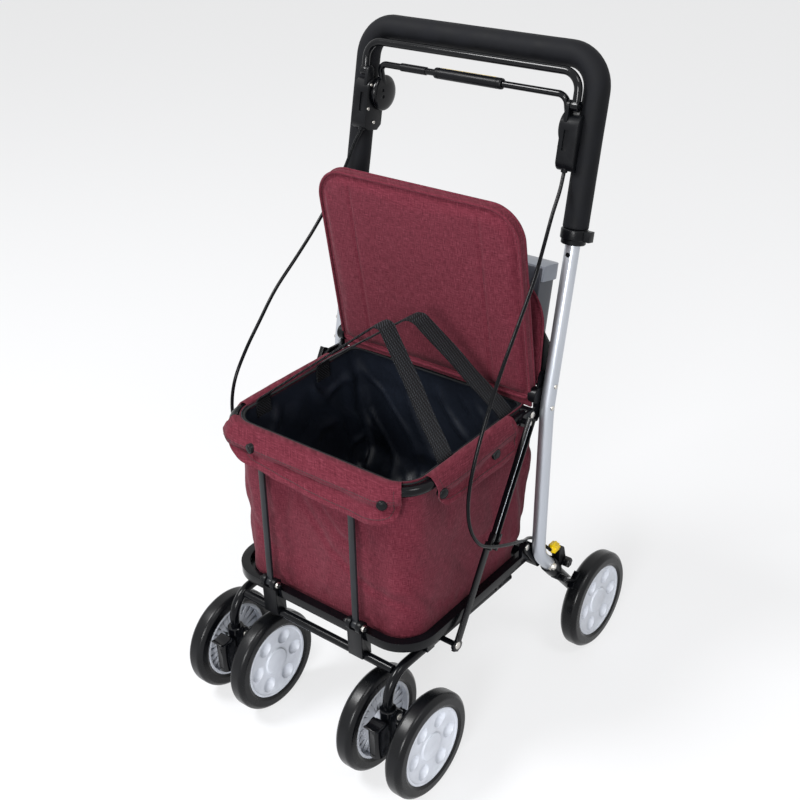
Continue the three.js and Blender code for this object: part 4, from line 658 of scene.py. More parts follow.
corners = [(ROD_X, *CAM), (ROD_X, *ROD), (-ROD_X, *ROD), (-ROD_X, *CAM)]
solids, cuts = [sweep(bent(corners, 12, 12), circle(4.5, 24))], []
dome = [(0, 0), (CAM_R - 0.8, 0), (CAM_R, 0.8), (CAM_R, 4.6)]
dome += [(CAM_R * math.cos(t), 4.6 + 6.4 * math.sin(t)) for t in (0.15, 0.35, 0.6, 0.85, 1.1, 1.35)] + [(0, 11)]
for side in (1, -1):
    face = Vector((side * CAM_X, *CAM))
    solids.append(lathe(dome, face, (-side, 0, 0), 64))
    cuts.append(pin(face + Vector((side * 3, 0, 0)), face - Vector((side * 6, 0, 0)), 6.4))
    cuts += [lathe([(0, -4), (2.2, -3.4), (2.6, 0), (2.2, 3.4), (0, 4)], face + Vector((-side * 12, -9, lift)),
                   sides=24) for lift in (6, -3)]
part("parking_rod_and_cams", "parking_bar", GLOSS, solids, "parking_bar", cuts=cuts, bevel=0.5)

half = [(7.5, 46.8), (6.9, 47.4), (6.9, 48.6), (7.5, 49.2), (7.5, 52), (7.2, 54.2), (6.4, 55)]
sleeve = [(r, -at) for r, at in half[::-1]] + half + [(4.9, 55), (4.9, -55)]
part("push_sleeve", "parking_bar", NYLON, [lathe(sleeve, (0, *ROD), closed=True, sides=40)], "parking_sleeve")
mark = block((-44, ROD[0] + 0.6, ROD[1] + 6.4), (44, ROD[0] + 2.2, ROD[1] + 7.45))
part("sleeve_line", "parking_bar", YELLOW, [mark], bevel=0.3)
tape = lathe([(4.6, -22), (5.6, -21.4), (5.6, 21.4), (4.6, 22)], (-92, *ROD), closed=True, sides=32)
part("rod_grip_band", "parking_bar", NYLON, [tape])

# %% Brake housings
EAR_IN, EAR_OUT = 161.2, 166.2
for name, side in SIDES:
    face = rounded([(-29, HOUSING_FOOT), (0, HOUSING_FOOT), (8, HOUSING_FOOT + 8), (8, HOUSING_TOP - 8),
                    (0, HOUSING_TOP), (-29, HOUSING_TOP)], [12, 2, 3, 3, 2, 14], 6)
    neck = block((side * EAR_IN, -29, HOUSING_TOP - 10), (side * EAR_OUT, -15, PIVOT_HEIGHT))
    spout = [raked(side * SPOUT_X, SPOUT_DEPTH, HOUSING_FOOT + h) for h in (-1.6, 6)]
    solids = [moved(prism(face, side * 158, side * 183), BACK_FRAME), crosspin(side, EAR_IN, EAR_OUT, PIVOT, 7),
              moved(neck, BACK_FRAME), crosspin(side, EAR_IN, 177.5, PIVOT, 3),
              crosspin(side, ROD_X, 160, CAM, 6), pin(*spout, 4.4)]
    foam_room = pin(on_tube(side, HOUSING_FOOT - 9), on_tube(side, HOUSING_TOP + 9), 17.3, sides=48)
    slot = moved(block((side * 164, -31, HOUSING_FOOT + 26), (side * 171, -26.5, HOUSING_FOOT + 52)), BACK_FRAME)
    part(f"brake_saddle_{name}", "handle", NYLON, solids, f"brake_housing_{name}", cuts=[foam_room, slot],
         bevel=1.2)
print("brake controls made")

# %% [markdown]
# ## Wheels
# All six wheels are the same: a solid tyre with rounded shoulders on a moulded hub with six round dimples
# outside and stiffening ribs inside. The profiles are turned once, and Geometry Nodes repeat the dimples
# and ribs around the axle, so their number and size are inputs of the tree.

# %% Geometry Nodes helpers
def new_tree(name, **sockets):
    """An empty node tree with a geometry output and the named inputs, and a way to add nodes to it."""
    tree = bpy.data.node_groups.new(name, "GeometryNodeTree")
    for socket, kind in sockets.items():
        tree.interface.new_socket(socket, in_out="INPUT", socket_type="NodeSocket" + kind)
    tree.interface.new_socket("Geometry", in_out="OUTPUT", socket_type="NodeSocketGeometry")
    return tree, tree.nodes.new("NodeGroupInput").outputs, partial(add_node, tree)


def close_tree(tree, geometry, material):
    """Ends a tree in real geometry with a material."""
    real = add_node(tree, "GeometryNodeRealizeInstances", {"Geometry": geometry})
    given = add_node(tree, "GeometryNodeSetMaterial", {"Geometry": real, "Material": material})
    add_node(tree, "NodeGroupOutput", {"Geometry": given})


def seed_of(name, solid):
    return object_of(name + "_seed", mesh_of(name + "_seed", solid))


def grown(name, seed, tree, values):
    """Runs a tree on a seed object, and keeps the result as a plain mesh."""
    modifier = seed.modifiers.new("grow", "NODES")
    modifier.node_group = tree
    for item in tree.interface.items_tree:
        if item.in_out == "INPUT" and item.name in values:
            modifier[item.identifier] = values[item.name]
    made = baked(seed, name)
    made.name = name
    return made


# %% The hub tree
hub_tree, hub_in, add = new_tree(
    "dimpled_hub", Geometry="Geometry", Dimples="Int", Dimple_Circle="Float", Ball_Radius="Float",
    Ball_Height="Float", Ribs="Int", Rib_Circle="Float", Rib_Size="Vector", Rib_Height="Float",
    Finish="Material")


def round_the_axle(points, instance, height, **turned):
    """Copies of a shape on points, laid across the axle at a height along it."""
    copies = add("GeometryNodeInstanceOnPoints", {"Points": points, "Instance": instance, **turned})
    lifted = add("ShaderNodeCombineXYZ", {"X": height})
    return add("GeometryNodeTransform", {
        "Geometry": copies, "Translation": lifted, "Rotation": (0, math.pi / 2, 0)})


dimple_points, rib_points = (add("GeometryNodeMeshCircle", {
    "Vertices": hub_in[kind + "s"], "Radius": hub_in[kind + "_Circle"]}) for kind in ("Dimple", "Rib"))
ball = add("GeometryNodeMeshUVSphere", {"Segments": 36, "Rings": 24, "Radius": hub_in["Ball_Radius"]})
balls = round_the_axle(dimple_points, ball, hub_in["Ball_Height"])
balls = add("GeometryNodeRealizeInstances", {"Geometry": balls})
hollowed = add("GeometryNodeMeshBoolean", {
    "Mesh 1": hub_in["Geometry"], "Mesh 2": balls}, operation="DIFFERENCE")
outward = add("GeometryNodeInputPosition")
facing = add("FunctionNodeAlignRotationToVector", {"Vector": outward}, axis="Y")
rib = add("GeometryNodeMeshCube", {"Size": hub_in["Rib_Size"]})
ribs = round_the_axle(rib_points, rib, hub_in["Rib_Height"], Rotation=facing)
whole = add("GeometryNodeJoinGeometry")
for item in (hollowed, ribs):
    feed(hub_tree, whole, {0: item})
close_tree(hub_tree, whole, hub_in["Finish"])

# %% Tyre and hub, and the six wheels
AXLE_Y, AXLE_Z, CASTER_X, WHEEL_OFF = 201.5, 78, 145, 43
tyre_profile = rounded([(58, -12), (62, -14), (72, -14), (78, -8.5), (78, 8.5), (72, 14), (62, 14), (58, 12)],
                       [0, 1.5, 5, 7, 7, 5, 1.5, 0], 6)
hub_profile = [(0, 5), (5.4, 5), (5.4, -12), (14, -12), (14, 0.4), (53.2, 0.4), (53.2, -11.6), (54, -12),
               (57, -12), (57.7, -11.4), (57.7, 11.4), (57, 12), (54.6, 12), (54, 11.7), (53.4, 10.9),
               (52.2, 10.4), (24, 8.4), (21.4, 8.4), (20.6, 8.8), (20.2, 10.2), (19.4, 10.9), (12, 11.3), (0, 11.5)]
tyre_mesh = tidied(mesh_of("tyre", lathe(tyre_profile, (0, 0, 0), closed=True, sides=96)), 50)
hub = grown("hub", seed_of("hub", lathe(hub_profile, (0, 0, 0), sides=96)), hub_tree, {
    "Dimples": 6, "Dimple_Circle": 38.5 * MM, "Ball_Radius": 12.8 * MM, "Ball_Height": 14.4 * MM, "Ribs": 24,
    "Rib_Circle": 33.6 * MM, "Rib_Size": (8 * MM, 40 * MM, 1.3 * MM), "Rib_Height": -3.0 * MM,
    "Finish": HUB})
hub = finished(hub, "hub", HUB, bevel=0.35, smooth=30)

WHEELS = []
for name, side in SIDES:
    WHEELS += [(f"rear_wheel_{name}", f"rear_wheel_{name}", side * 210, AXLE_Y, side)]
    WHEELS += [(f"caster_{name}_{way}", f"caster_{name}_{way}_wheel", side * (CASTER_X + turn * WHEEL_OFF),
                -AXLE_Y, turn * side) for way, turn in (("outer", 1), ("inner", -1))]
for wheel, body, x, y, facing_side in WHEELS:
    seat = Matrix.Translation(Vector((x, y, AXLE_Z)) * MM)
    if facing_side < 0:
        seat = seat @ Matrix.Rotation(math.pi, 4, "Z")
    for kind, mesh, finish in (("tyre", tyre_mesh, RUBBER), ("hub", hub.data, HUB)):
        copy = mesh.copy()
        copy.transform(seat @ Matrix.Rotation(math.radians(30), 4, "X"))
        copy.materials.clear()
        copy.materials.append(finish)
        placed(object_of(f"{kind}_of_{wheel}", copy), body, f"{wheel}_{kind}")
bpy.data.objects.remove(hub)
print("wheels:", len(WHEELS), "hub faces:", len(copy.polygons))

# %% [markdown]
# ## Wheel sockets, brakes and casters
# These are nylon castings. Each is joined from turned bosses and blocks, and one small bevel all round
# gives it the soft edges of a moulded part.

# %% Rear wheel sockets
SHOE_PIVOT, KNOB, BOLT = (118, 166), (139, 181), (103, 193.5)


def toward_axle(side, distance):
    return sideways(side, HEEL + (AXLE - HEEL).normalized() * distance)


def hexagon(centre, radius):
    return arc(centre, radius, 0, 360, 6)[:-1]


for name, side in SIDES:
    outline = rounded([(124.3, 219), (138, 207), (143, 186), (131, 175), (113, 184), (124.3, 186)],
                      [3, 6, 5, 3, 0, 2], 5)
    solids = [pin(toward_axle(side, 44), toward_axle(side, 72), 12.6, 1.4, 48),
              pin(toward_axle(side, 58), sideways(side, AXLE), 9, 1, 40),
              crosspin(side, TUBE_X - 9, TUBE_X + 9, AXLE.yz, 12.6, 1.6, 48),
              crosspin(side, TUBE_X, 214.7, AXLE.yz, 5), prism(outline, side * 180, side * 193),
              crosspin(side, TUBE_X, 209.2, SHOE_PIVOT, 2.7), crosspin(side, TUBE_X, 198.9, SHOE_PIVOT, 5.5)]
    part(f"wheel_casting_{name}", "rear_frame", NYLON, solids, f"wheel_socket_{name}", bevel=0.9,
         cuts=[pin(toward_axle(side, 26), toward_axle(side, 58.3), 10.3, 0.2, 40)])
    knob = [prism(rounded(hexagon(KNOB, 8), 1, 3), side * 192, side * 203), crosspin(side, 200, 204.2, KNOB, 4.5)]
    part(f"hex_knob_{name}", "rear_frame", GLOSS, knob, bevel=0.7)
    bolt = [prism(hexagon(BOLT, 5.2), side * 195, side * 199.4), crosspin(side, 190, 200.4, BOLT, 3),
            crosspin(side, 190, 195.4, BOLT, 7.2, 0.4, 40)]
    part(f"pivot_bolt_{name}", "rear_frame", ZINC, bolt, bevel=0.5)
print("rear sockets made")

# %% Adjusting nuts and brake shoes
FLUTES, FLUTE_POINTS, SHOE_ANGLE, SHOE_X = 8, 96, 128.5, (199.2, 209.2)
for name, side in SIDES:
    flutes = []
    for k in range(FLUTE_POINTS):
        turn = 2 * math.pi * k / FLUTE_POINTS
        radius = 8 - 0.65 * (1 - math.cos(FLUTES * turn))
        flutes.append((side * NUT_X + radius * math.cos(turn), NUT_Z + radius * math.sin(turn)))
    nut = [prism(flutes, 112, 124, "y"), pin((side * NUT_X, 109.8, NUT_Z), (side * NUT_X, 113, NUT_Z), 4)]
    part(f"adjusting_nut_{name}", "rear_frame", YELLOW, nut, f"brake_adjuster_{name}", bevel=0.5, smooth=50)
    near, far = (side * x for x in SHOE_X)
    hub_at = (AXLE_Y, AXLE_Z)
    pad = prism(arc(hub_at, 80.2, 119, 138, 12) + arc(hub_at, 84.2, 138, 119, 12), near, far)
    toe, pivot = math.radians(SHOE_ANGLE), Vector(SHOE_PIVOT)
    reach = Vector((AXLE_Y + 82.2 * math.cos(toe), AXLE_Z + 82.2 * math.sin(toe))) - pivot
    off = Vector((-reach.y, reach.x)).normalized() * 2
    arm = prism([tuple(p) for p in (pivot - off, pivot + reach - off, pivot + reach + off, pivot + off)],
                near, far)
    part(f"shoe_{name}", f"brake_shoe_{name}", PAINT, [pad, arm, crosspin(side, *SHOE_X, SHOE_PIVOT, 5.5)],
         f"brake_shoe_{name}", cuts=[crosspin(side, 197, 212, SHOE_PIVOT, 3.1)], bevel=0.4)
print("brakes made")

# %% Caster forks and their locks
LOCK_RISE, STEM_Y, SCREW = 7.2, -226.5, (6, 124)
for name, side in SIDES:
    def at(x, y, z, side=side):
        return (side * CASTER_X + x, STEM_Y + y, z)

    def plan(half, front, rear, radii, steps, at=at):
        places = ((-half, front), (half, front), (half, rear), (-half, rear))
        return rounded([at(x, y, 0)[:2] for x, y in places], radii, steps)

    solids = [pin(at(0, 0, 66), at(0, 0, 137.5), 12, 1.4, 48), block(at(-8, -10, 66), at(8, 35, 108)),
              prism(plan(11, -37, -13, [10, 10, 2, 2], 10), 75, 124, "z"),
              block(at(-8, -16, 74), at(8, 0, 108)), pin(at(0, *SCREW), at(13, *SCREW), 10, 1.4, 40),
              pin(at(-50.2, 25, AXLE_Z), at(50.2, 25, AXLE_Z), 5)]
    cuts = [pin(at(0, 0, 103.7), at(0, 0, 140), 5.4, 0.2),
            prism(plan(4.5, -38.2, -36.2, 0.5, 3), 80, 118, "z")]
    part(f"fork_{name}", f"caster_{name}", GLOSS, solids, f"caster_fork_{name}", cuts=cuts, bevel=1.2,
         segments=3)
    recess = [moved(block((13.9, -2.8, -0.5), (16, 2.8, 0.5)), Matrix.Translation(at(0, *SCREW))
                    @ Matrix.Rotation(math.radians(a), 4, "X")) for a in (20, 110)]
    part(f"fork_screw_{name}", f"caster_{name}", ZINC, [pin(at(12, *SCREW), at(15, *SCREW), 4.6, 0.9)],
         cuts=recess, bevel=0.2)
    lever = [at(0, a, b + LOCK_RISE)[1:] for a, b in (
        (-41, 120.8), (-37, 117.3), (-19, 117.3), (-19, 124.3), (-23, 124.3), (-31, 121.9), (-37, 122.2),
        (-41, 124.3))]
    cap = prism(rounded(lever, [1.2, 2, 1, 1.5, 8, 12, 6, 1.2], 5), *(side * CASTER_X + w for w in (-10.5, 10.5)))
    part(f"lock_lever_{name}", f"caster_lock_{name}", GLOSS, [cap], f"caster_lock_{name}", bevel=0.8, segments=3)
print("casters made")

# %% [markdown]
# ## Folding base
# Two painted leg tubes bend down to the caster stems, and a rimmed tray rides on them on four clips. Flat
# bars join the base to the seat ring in front, and a telescoping brace runs up each side.

# %% Leg tubes and rods
LEG_Z, LEG_END, ROD_Y = 188, (150, 52), -117
for name, side in SIDES:
    stem_x = side * CASTER_X
    corners = [(stem_x, STEM_Y, 138), (stem_x, STEM_Y, LEG_Z), (side * LEG_END[0], LEG_END[1], LEG_Z)]
    leg = [sweep(bent(corners, 40, 14), circle(7, 32)), pin((stem_x, STEM_Y, 104), (stem_x, STEM_Y, 143), 5)]
    part(f"leg_{name}", "base", PAINT, leg, f"base_tube_{name}", bevel=0.5,
         cuts=[crosspin(side, 136, 164, (ROD_Y, LEG_Z), 4.3, 0.2)])
part("crossbar", "base", PAINT, [crosspin(1, -137.7, 137.7, (-204, 185), 6.5)], "front_crossbar")
part("foot_rod", "base", PAINT, [crosspin(1, -181.5, 181.5, (ROD_Y, LEG_Z), 4, 0.8)], "brace_rod")

# %% Tray
HINGE_Y, HINGE_Z = 64, 243


def tray_plan(inset, rear_corner):
    """The tray's outline: wide round corners in front, tight ones behind."""
    half, front, rear, front_corner = 172 - inset, -207 + inset, 87 - inset, 55 - inset
    corners = [(half, front), (half, rear), (-half, rear), (-half, front)]
    return rounded(corners, [front_corner, rear_corner, rear_corner, front_corner], 12)


ear = arc((HINGE_Y, HINGE_Z), 9, 0, 180, 14) + [(HINGE_Y - 9, 227), (HINGE_Y + 9, 227)]
solids = [prism(tray_plan(0, 12), 215, 229, "z"), *(prism(ear, s * 166, s * 172) for s in (1, -1))]
solids += [block((s * 150 - 7, y - 8, LEG_Z), (s * 150 + 7, y + 8, 216.5)) for s in (1, -1)
           for y in (-0.72 * AXLE_Y, 0.1 * AXLE_Y)]
cuts = [prism(tray_plan(13, 6), 218, 231, "z")]
cuts += [crosspin(s, 164, 174, (HINGE_Y, HINGE_Z), 4.4, 0.2) for s in (1, -1)]
cuts += [pin((s * CASTER_X, STEM_Y, LEG_Z), (s * LEG_END[0], LEG_END[1], LEG_Z), 7.3, 0.2) for s in (1, -1)]
part("tray_pan", "base", PAINT, solids, "tray", slot="black_plastic", cuts=cuts, bevel=1.8, segments=4)
print("base made")

# %% [markdown]
# The clamps, flat bars, braces and hinge plates have the right outline in the CAD model already. A copy of
# each gets rounded edges, because a pressed or extruded edge is never quite sharp and catches the light.

# %% Pressed parts, copied from the CAD with rounded edges
BRACE_FOOT, BRACE_TOP = Vector((0, ROD_Y, LEG_Z)), Vector((0, 48, 463))
BRACE_WAY = (BRACE_TOP - BRACE_FOOT).normalized()
BRACE_ACROSS = Vector((0, -BRACE_WAY.z, BRACE_WAY.y))
BAR_WIDENING, HIGHLIGHT_OFF, HIGHLIGHT_X = 0.27, 5.6, 189.0
for name, side in SIDES:
    dressed(f"bar_clamp_{name}", "base", NYLON, 0.8)
    dressed(f"front_bar_{name}", "front_bars", DULL, 0.7)
    dressed(f"brace_channel_{name}", "brace_channels", GLOSS, 0.4, slot="black_paint")
    for vertex in dressed(f"brace_bar_{name}", "brace_bars", PAINT, 0.5).data.vertices:
        off = (vertex.co - BRACE_FOOT * MM).dot(BRACE_ACROSS)
        vertex.co += BRACE_ACROSS * off * BAR_WIDENING
    # A thin strip of bright aluminium along each channel is a painted highlight for the light its rolled edge
    # reflects
    highlight_line = [sideways(side, BRACE_TOP + BRACE_WAY * d + BRACE_ACROSS * HIGHLIGHT_OFF, HIGHLIGHT_X) for d in (-165, 2)]
    part(f"channel_rails_{name}", "brace_channels", TUBE, [pin(*highlight_line, 0.45, 0.1, 12)])
dressed("hinge_frame", "rear_frame", PAINT, 0.4)
dressed("base_hinge_frame", "rear_frame", PAINT, 0.4)
dressed("back_board", "rear_frame", NYLON, 1.2)
# Black blocks beside the lid hinges fill the gap between lid and bag as painted shade, where that gap lies in shadow
hinge_shade_blocks = [block((side * 168.5, 80, 464), (side * 176, 98, 475)) for side in (1, -1)]
part("lid_hinge_brackets", "rear_frame", PAINT, hinge_shade_blocks, bevel=0.8)
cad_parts["handle_tube"].data.materials.clear()
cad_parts["handle_tube"].data.materials.append(PAINT)
print("pressed parts dressed")

# %% Seat ring
RING_Z, RING_END, RING_X, BAR_AT = 462, 70, 165, 79
RING_PATH = bent([(x, y, RING_Z) for x, y in (
    (RING_X, RING_END), (RING_X, -190), (-RING_X, -190), (-RING_X, RING_END))], 45, 20)
solids, cuts = [sweep(RING_PATH, circle(7, 32))], []
for side in (1, -1):
    solids.append(crosspin(side, 158, 172, (RING_END, RING_Z), 9, 0.8, 40))
    solids.append(pin((side * BAR_AT - 8.15, -202, 455), (side * BAR_AT + 8.15, -202, 455), 3))
    cuts.append(crosspin(side, 156, 174, (RING_END, RING_Z), 4.4, 0.2))
    lug = rounded([(-190, 468), (-205, 461), (-206.6, 456.5), (-206.6, 452), (-202, 449), (-190, 456)], 1, 3)
    solids += [prism(lug, side * BAR_AT + edge * 5.15, side * BAR_AT + edge * 8.15) for edge in (1, -1)]
part("seat_hoop", "seat_ring", PAINT, solids, "seat_ring", cuts=cuts, bevel=0.4)
print("seat ring made")

# %% [markdown]
# ## Rear basket
# Behind the back board sits a moulded basket with an arched lid. The lid is the crossing of its plan and
# its arch, hollowed from below.

# %% Rear basket and lid
def basket_block(grow, front, corner, low, high):
    """The basket's plan, grown on three sides and carried between two heights of the raked frame."""
    half, rear = 142 + grow, 56.3 + grow
    plan = rounded([(-half, front), (half, front), (half, rear), (-half, rear)], [1.5, 1.5, corner, corner], 12)
    return moved(prism(plan, low, high, "z"), BACK_FRAME)


part("basket", "rear_frame", BASKET, [basket_block(0, 6.3, 20, 76, 187)], "caddy",
     cuts=[basket_block(-2.5, 8.8, 17.5, 78.5, 190)], bevel=0.9, segments=3)

arch = [(6.6, 169), (60.2, 169), (60.2, 185)]
arch += [(60.1 - 53.5 * t, 184.9 + 6.6 * math.sin(math.pi * min(1, 0.62 * t + 0.14)) ** 0.8)
         for t in (k / 14 for k in range(15))]
plan = solid_object("plan", basket_block(3.5, 6.6, 23, 169, 195))
arch = solid_object("arch", moved(prism(arch, -150, 150), BACK_FRAME))
under = solid_object("under", basket_block(0.7, 4.0, 20.7, 165, 187.2))
cover = boolean(boolean(plan, [arch], "INTERSECT"), [under], "DIFFERENCE")
placed(finished(cover, "basket_cover", BASKET_LID, bevel=1.0, segments=3), "caddy_lid", "caddy_lid")
print("basket made")

# %% [markdown]
# ## The cloth bag
# The bag is a sewn tub of heathered cloth with a slick black lining, hung from the ring and standing on
# the tray. Its outline changes slowly with height, so it is lofted from rings of points. Slow swells and
# sharper creases move each point in or out, and fade where the ring and the tray hold the cloth.

# %% Bag outline
BAG_LOW, MOUTH = 219.0, 471.0
RING_COUNT, RING_ROWS = 280, 76


def smooth(low, high, value):
    share = min(1, max(0, (value - low) / (high - low)))
    return share * share * (3 - 2 * share)


def eased(share, stops):
    for (s0, v0), (s1, v1) in zip(stops, stops[1:]):
        if share <= s1:
            return v0 + (v1 - v0) * smooth(s0, s1, share)
    return stops[-1][1]


def bag_ring(height, inset):
    """The outline at a height: places and outward directions, evenly spaced."""
    share = (height - BAG_LOW) / (MOUTH - BAG_LOW)
    half, front = 155 + 2 * share - inset, -186 + 4.5 * share + inset
    rear = eased(share, ((0, 66), (0.3, 101), (0.72, 101), (1, 86))) - inset
    corners = [(half, rear), (-half, rear), (-half, front), (half, front)]
    outline = rounded(corners, [19 - inset, 19 - inset, 38 - inset, 38 - inset], 12)
    loop = [Vector((x, y, 0)) for x, y in [*outline, outline[0]]]
    places = evenly(loop, length_of(loop) / RING_COUNT)[:RING_COUNT]
    alongs = [places[(i + 1) % RING_COUNT] - places[i - 1] for i in range(RING_COUNT)]
    return places, [Vector((along.y, -along.x, 0)).normalized() for along in alongs]


# %% Folds of the cloth and its lining
def crease(x, y, z, seed):
    """A ridge line of folded cloth: high along the line where a noise crosses zero."""
    value = noise.noise(Vector((x, y, z)) + Vector((seed, 2.3 * seed, -seed)))
    return max(0, 1 - 5 * abs(value))


def bag_fold(place, height):
    swell = noise.noise(Vector((place.x / 95, place.y / 95, height / 150)))
    lines = crease(place.x / 120, place.y / 90 + height / 260, height / 210, 3.1)
    slant = crease(place.x / 70 + height / 150, place.y / 85 + height / 110, height / 190, 8.7)
    ripple = noise.noise(Vector((place.x / 26, place.y / 26, height / 44)) + Vector((5, 5, 5)))
    held = smooth(228, 262, height) * (1 - smooth(425, 462, height))
    foot = smooth(221, 228, height) * (1 - smooth(238, 262, height))
    base = foot * (1.6 * noise.noise(Vector((place.x / 14, place.y / 14, height / 30))) - 0.8)
    gather = 3.2 * math.sin(place.y / 7.5 + height / 46) * smooth(25, 70, place.y) * smooth(60, 140, abs(place.x))
    return base + held * (3.6 * swell + 2.6 * lines - 3.2 * slant + 1.1 * ripple + gather)


def lining_slack(place, height):
    held = smooth(224, 250, height) * (1 - smooth(420, 455, height))
    deep = 0.5 + 0.5 * noise.noise(Vector((place.x / 60, place.y / 60, height / 90)) + Vector((9, 1, 4)))
    lines = crease(place.x / 60 + height / 130, place.y / 60, height / 100, 5.5)
    return held * (7.0 * deep + 4.5 * lines)


# %% The bag and its lining
def bag_shell(low, high, outer, inner, extra, floor):
    """A closed pocket: up the outside, over the lip, down the inside and across the floor."""
    points = []
    for inset, start, rise in ((outer, low, high - low), (inner, high, -(high - low - floor))):
        for height in (start + rise * k / RING_ROWS for k in range(RING_ROWS + 1)):
            for place, out in zip(*bag_ring(height, inset)):
                folded = place + out * (bag_fold(place, height) - extra(place, height))
                points.append(Vector((folded.x, folded.y, height)))
    return points, grid_faces(2 * (RING_ROWS + 1), RING_COUNT)


walls = bag_shell(BAG_LOW, MOUTH, 0, 1.1, lambda place, height: 0, 1.5)
lining = bag_shell(BAG_LOW + 2, MOUTH - 0.6, 1.5, 2.3, lining_slack, 1.2)
for name, finish, shell in (("bag_walls", CLOTH, walls), ("bag_lining", LINING, lining)):
    piece = placed(shell_piece(name, finish, shell, 70), "seat_ring", "bag")
    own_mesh(piece)
    print(name, "faces:", len(piece.data.polygons))
rim = [place + Vector((0, 0, MOUTH - 3.4)) for place in bag_ring(MOUTH, 2.5)[0][::2]]
tape = [(b, a) for a, b in rounded([(-1.2, -4.6), (1.2, -4.6), (1.2, 4.6), (-1.2, 4.6)], 1.1, 3)]
placed(shell_piece("mouth_binding", TAPE, sweep(rim, tape, width=(0, 0, 1), closed=True), 70), "seat_ring")

# %% [markdown]
# At the mouth the cloth goes over the ring and hangs outside as flaps: one across the front and round both
# corners, and one along each side. Each is a doubled sheet that rolls over the tube and has a stitched,
# slightly thicker hem with rounded corners. It is built column by column along the ring.

# %% Columns of a flap
FLAP_ROWS, FLAP_THICK, HEM_RADIUS, STITCH_INSET, STATION_STEP = 34, 1.9, 20, 8, 2.6
BAG_MIDDLE = Vector((0, -60, RING_Z))


def flap_columns(stations, reach_at, hem_at, sway, tuck, seed):
    """Outer and inner surface points for each station (place, outward direction, distance to an end)."""
    columns = []
    for place, out, to_end in stations:
        rise = HEM_RADIUS - math.sqrt(max(0, HEM_RADIUS ** 2 - max(0, HEM_RADIUS - to_end) ** 2))
        hem, reach = hem_at(place), reach_at(place)
        foot = min(hem + rise, 453)
        line = rounded([(-10.2, 463), (-10.2, 472.6), (1.5, 472.6), (reach, 460), (reach + 0.6, foot)],
                       [0, 6, 9, 14, 0], 8)
        line = [Vector((o, z, 0)) for o, z in line]
        line = evenly(line, length_of(line) / FLAP_ROWS)
        outer, inner = [], []
        for k, spot in enumerate(line):
            along = (line[min(k + 1, FLAP_ROWS)] - line[max(k - 1, 0)]).normalized()
            side_out = Vector((-along.y, along.x, 0))
            hang = smooth(466, hem, spot.y)
            puff = noise.noise(Vector((place.x / 40, place.y / 40, spot.y / 40 + seed)))
            hung = k > FLAP_ROWS / 3
            pinch = (2.6 * smooth(442, hem, spot.y)
                     - tuck * (0.8 + puff) * math.exp(-((spot.y - 444) / 6.0) ** 2)) if hung else 0
            roll = noise.noise(Vector((place.x / 30, place.y / 30, seed + 9)))
            shift = hang * sway * (0.55 + puff) + (1 - hang) * 0.9 * max(0, roll) + pinch
            thick = FLAP_THICK + (1.6 if k >= FLAP_ROWS - 4 else 0) - (0.8 if k == FLAP_ROWS else 0)
            for side_points, off in ((outer, thick / 2), (inner, -FLAP_THICK / 2)):
                at = spot + side_out * (off + shift * (1 if hang > 0 else 0.6))
                side_points.append(Vector((place.x + out.x * at.x, place.y + out.y * at.x, at.y)))
        columns.append((outer, inner))
    return columns


def ring_stations(keep):
    """Stations along the part of the ring that a test keeps, with the distance to the nearer end."""
    line = evenly(RING_PATH, STATION_STEP)
    chosen = [i for i, p in enumerate(line) if keep(p)]
    stations = []
    for i in chosen:
        along = line[min(i + 1, len(line) - 1)] - line[max(i - 1, 0)]
        out = Vector((along.y, -along.x, 0)).normalized()
        if out.dot(line[i] - BAG_MIDDLE) < 0:
            out.negate()
        stations.append((line[i], out, min(i - chosen[0], chosen[-1] - i) * STATION_STEP))
    return stations


# %% The three flaps
def front_reach(place):
    return 10.5 + 9.1 * (1 - smooth(118, 150, abs(place.x)))


def front_hem(place):
    """The hem runs down towards the left and curls up round both corners."""
    return 426 - 0.062 * place.x + 9 * smooth(100, 150, place.x) + 13 * smooth(85, 160, -place.x)


def side_reach(place):
    return 12.8 - 3.4 * smooth(-20, 12, place.y) + 1.2 * math.sin(place.y / 21)


def side_hem(place):
    return 425 - 0.03 * place.y


CORNER_END = -190 + 45 * (1 - math.cos(math.radians(36)))
FLAPS = {"front": flap_columns(ring_stations(lambda p: p.y < CORNER_END), front_reach, front_hem, 3.2, 7.5, 1.0)}
for name, side in SIDES:
    stations = ring_stations(lambda p, side=side: p.x * side > 164.9 and -147 < p.y < 36)
    FLAPS[name] = flap_columns(stations, side_reach, side_hem, 1.6, 4.0, 4.0 + side)
for name, columns in FLAPS.items():
    points = [p for outer, inner in columns for p in outer + inner[::-1]]
    solid = (points, grid_faces(len(columns), 2 * (FLAP_ROWS + 1)))
    placed(shell_piece(f"flap_{name}", CLOTH, solid, 70), "seat_ring", "bag")
print("flap columns:", {k: len(v) for k, v in FLAPS.items()})

# %% [markdown]
# Stitches are little stretched threads that follow a line. A tree samples the line at the stitch length
# and turns one small thread along it. The same idea sets every screw, rivet and press stud: a head from a
# template is placed on points that carry the way it faces and its size.

# %% Stitch tree
stitch_tree, stitch_in, add = new_tree(
    "stitches_on_a_line", Geometry="Geometry", Pitch="Float", Stitch="Float", Yarn="Float", Finish="Material")
curve = add("GeometryNodeMeshToCurve", {"Mesh": stitch_in["Geometry"]})
curve = add("GeometryNodeResampleCurve", {"Curve": curve, "Length": stitch_in["Pitch"]}, mode="LENGTH")
thread = add("GeometryNodeMeshCylinder", {
    "Vertices": 6, "Radius": stitch_in["Yarn"], "Depth": stitch_in["Stitch"]})
tangent = add("GeometryNodeInputTangent")
turned = add("FunctionNodeAlignRotationToVector", {"Vector": tangent}, axis="Z")
sewn = add("GeometryNodeInstanceOnPoints", {"Points": curve, "Instance": thread, "Rotation": turned})
close_tree(stitch_tree, sewn, stitch_in["Finish"])


